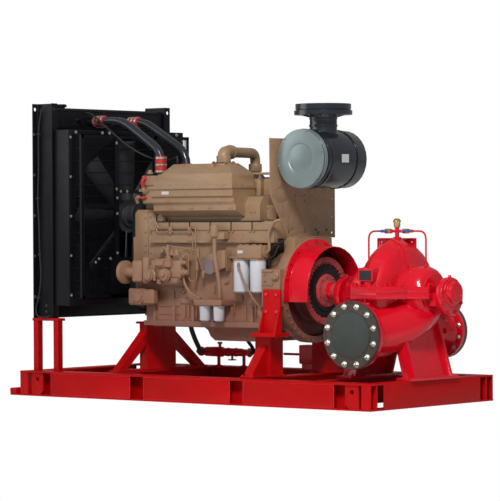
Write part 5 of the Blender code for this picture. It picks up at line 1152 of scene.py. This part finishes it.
@piece("red", bevel=0.0008)
def bearing_bolts(made):
    made.bolt_circle("X", (1.8447, 0, 0.782), 0.12, 8, 0.5, 0.0115, 0.012)
    made.bolt_circle("-X", (0.887, 0, 0.782), 0.12, 8, 0.5, 0.0115, 0.012)
    made.hoop("X", (1.8905, 0, SHAFT_Z), 0.052, 0.066, -0.004, 0.003, 36)
    for end in (-1, 1):
        turn = "X" if end > 0 else "-X"
        x = PUMP_X + end * 0.336
        made.hoop(turn, (x, 0, SHAFT_Z), 0.043, 0.06, -0.004, 0.01, 28)
        made.hoop(turn, (x, 0, SHAFT_Z), 0.043, 0.05, 0.008, 0.028, 28)
        for y in (-0.078, 0.078):
            made.stud((x, y, SHAFT_Z + 0.058), turn, 0.01, 0.045)
        for y in (-0.105, 0.105):
            made.stud((x, y, SHAFT_Z + 0.02), turn, 0.009, 0.022)
        made.boss("Z", (x + end * 0.125, 0, 0.905), 12, 0.017, 0.014, (0.018, 0.011), (0.03, 0.011))


@piece("red", bevel=0.001)
def casing_fittings(made):
    for x in (PUMP_X - 0.1, PUMP_X, PUMP_X + 0.1):
        made.boss("-Y", (x, -0.478, 0.735), 6, 0.014, 0.008, (0.01, 0.008), (0.02, 0.008))
    made.boss("Y", (PUMP_X + 0.13, 0.4, 0.52), 12, 0.02, 0.012, (0.016, 0.013), (0.028, 0.013))
    for x, z in ((PUMP_X + 0.182, 0.56), (PUMP_X + 0.182, 0.47)):
        made.lathe([(-0.02, 0.02), (0.008, 0.02), (0.01, 0.013), (0.018, 0.013)], "X", (x, -0.44, z), 8)
    made.hoop("Z", (PUMP_X, 0, 0), 0.019, 0.031, 1.196, 1.206, 20)
    for end in (-1, 1):
        for y in (-0.262, -0.06, 0.06, 0.262):
            made.stud((PUMP_X + end * 0.268, y, 0.212), "Z", 0.015, 0.03)


# Supports and skid
@piece("red")
def support_fixings(made):
    for side, turn in SIDES:
        for x in (0.5, 0.595):
            made.bolts(x, side * 0.433, (0.665, 0.79), turn, 0.0135, 0.013)
        made.bolts((0.4, 0.494), side * 0.587, 0.2023, "Z", 0.0085, 0.01)
        made.bolts((-0.945, -0.893), side * 0.36, 0.2023, "Z", 0.011, 0.011)
        made.bolts((-1.56, -1.4), side * 0.65, 0.5925, "-Z", 0.011, 0.01)


@piece("red")
def skid_welds(made):
    """Weld beads along the closing plates and the cross members."""
    for side in (-1, 1):
        y, inner = side * 0.7455, side * 0.5865
        for low, high in ((-1.356, -0.554), (-0.417, 0.4085), (0.537, 1.3585)):
            for x in (low, high):
                made.tube([(x, y, 0.016), (x, y, 0.174)], 0.0035, 6, 1)
            for z in (0.0145, 0.1755):
                made.tube([(low, y, z), (high, y, z)], 0.003, 6, 1)
        for x in (-0.97, -0.87, 0.397, 0.497, 1.051, 1.151):
            made.tube([(x, inner, 0.02), (x, inner, 0.175)], 0.0035, 6, 1)


@piece("red", bevel=0.0012)
def box_fittings(made):
    """Lid, screws and glands of the junction box."""
    front = 0.5667
    made.slab((0.012, 0.248), (front - 0.003, front + 0.001), (0.24, 0.368))
    made.bolts((0.022, 0.238), front - 0.003, (0.249, 0.359), "-Y", 0.006, 0.004)
    made.boss("-X", (0.0055, 0.624, 0.301), 10, 0.018, 0.012, (0.016, 0.012), (0.03, 0.012))
    for y in (0.595, 0.65):
        made.boss("Z", (0.2, y, 0.376), 6, 0.014, 0.012, (0.016, 0.009), (0.03, 0.009))


@piece("red", bevel=0.0008)
def heater_fittings(made):
    """Unions, clamps and valve along the preheater line on the far beam."""
    y, z = 0.62, 0.302
    made.lathe([(-1.032, 0.024), (-1.028, 0.037), (-1.005, 0.037), (-0.998, 0.029), (-0.985, 0.029)], "X",
               (0, y, z), 12)
    made.lathe([(-0.545, 0.029), (-0.535, 0.036), (-0.512, 0.036), (-0.503, 0.024)], "X", (0, y, z), 6)
    body = [(-0.99, 0.025), (-0.96, 0.037), (-0.8, 0.04), (-0.785, 0.031), (-0.6, 0.031), (-0.585, 0.025)]
    made.lathe(body, "X", (0, y, z), 24)
    for x in (-0.74, -0.66):
        made.hoop("X", (x, y, z), 0.03, 0.0345, -0.008, 0.008, 20)
        made.bolt((x, y - 0.028, z + 0.012), "-Y", 0.006, 0.008)
    made.boss("Z", (-0.825, y, z + 0.03), 10, 0.012, 0.03, (0.034, 0.02), (0.048, 0.02))
    made.boss("-Z", (-0.7, y, z - 0.024), 16, 0.009, 0.03, (0.032, 0.034), (0.04, 0.034), (0.042, 0.01))
    for x in (-0.836, -0.581):
        made.slab((x - 0.028, x + 0.028), (y - 0.022, y + 0.022), (0.1902, 0.196))
        made.bolt((x + 0.018, y, 0.196), "Z", 0.007, 0.006)
        made.bolt((x - 0.018, y, 0.196), "Z", 0.007, 0.006)


@piece("rubber")
def heater_hoses(made):
    """Hoses that join the preheater line to the engine."""
    made.tube([(-0.6, 0, 0.555), (-0.602, 0.02, 0.5), (-0.64, 0.1, 0.43), (-0.735, 0.25, 0.365),
               (-0.87, 0.43, 0.325), (-0.975, 0.56, 0.306), (-1.045, 0.618, 0.302), (-1.028, 0.62, 0.302)],
               0.0185, 14)
    made.tube([(-0.51, 0.62, 0.302), (-0.475, 0.615, 0.306), (-0.445, 0.56, 0.345), (-0.43, 0.44, 0.44),
               (-0.425, 0.35, 0.51), (-0.425, 0.315, 0.555)], 0.014, 12)


@piece("red", "dust_and_shadow")
def support_gap_shadows(made):
    """Painted shadow in the gaps between the plates of the engine's front support."""
    # dark slabs where the gaps lie in shade: painted shadow
    made.slab((-0.8756, -0.8746), (0, 0.01), (0.206, 0.545))
    made.slab((-0.9, -0.889), (-0.1866, -0.1855), (0.206, 0.545))
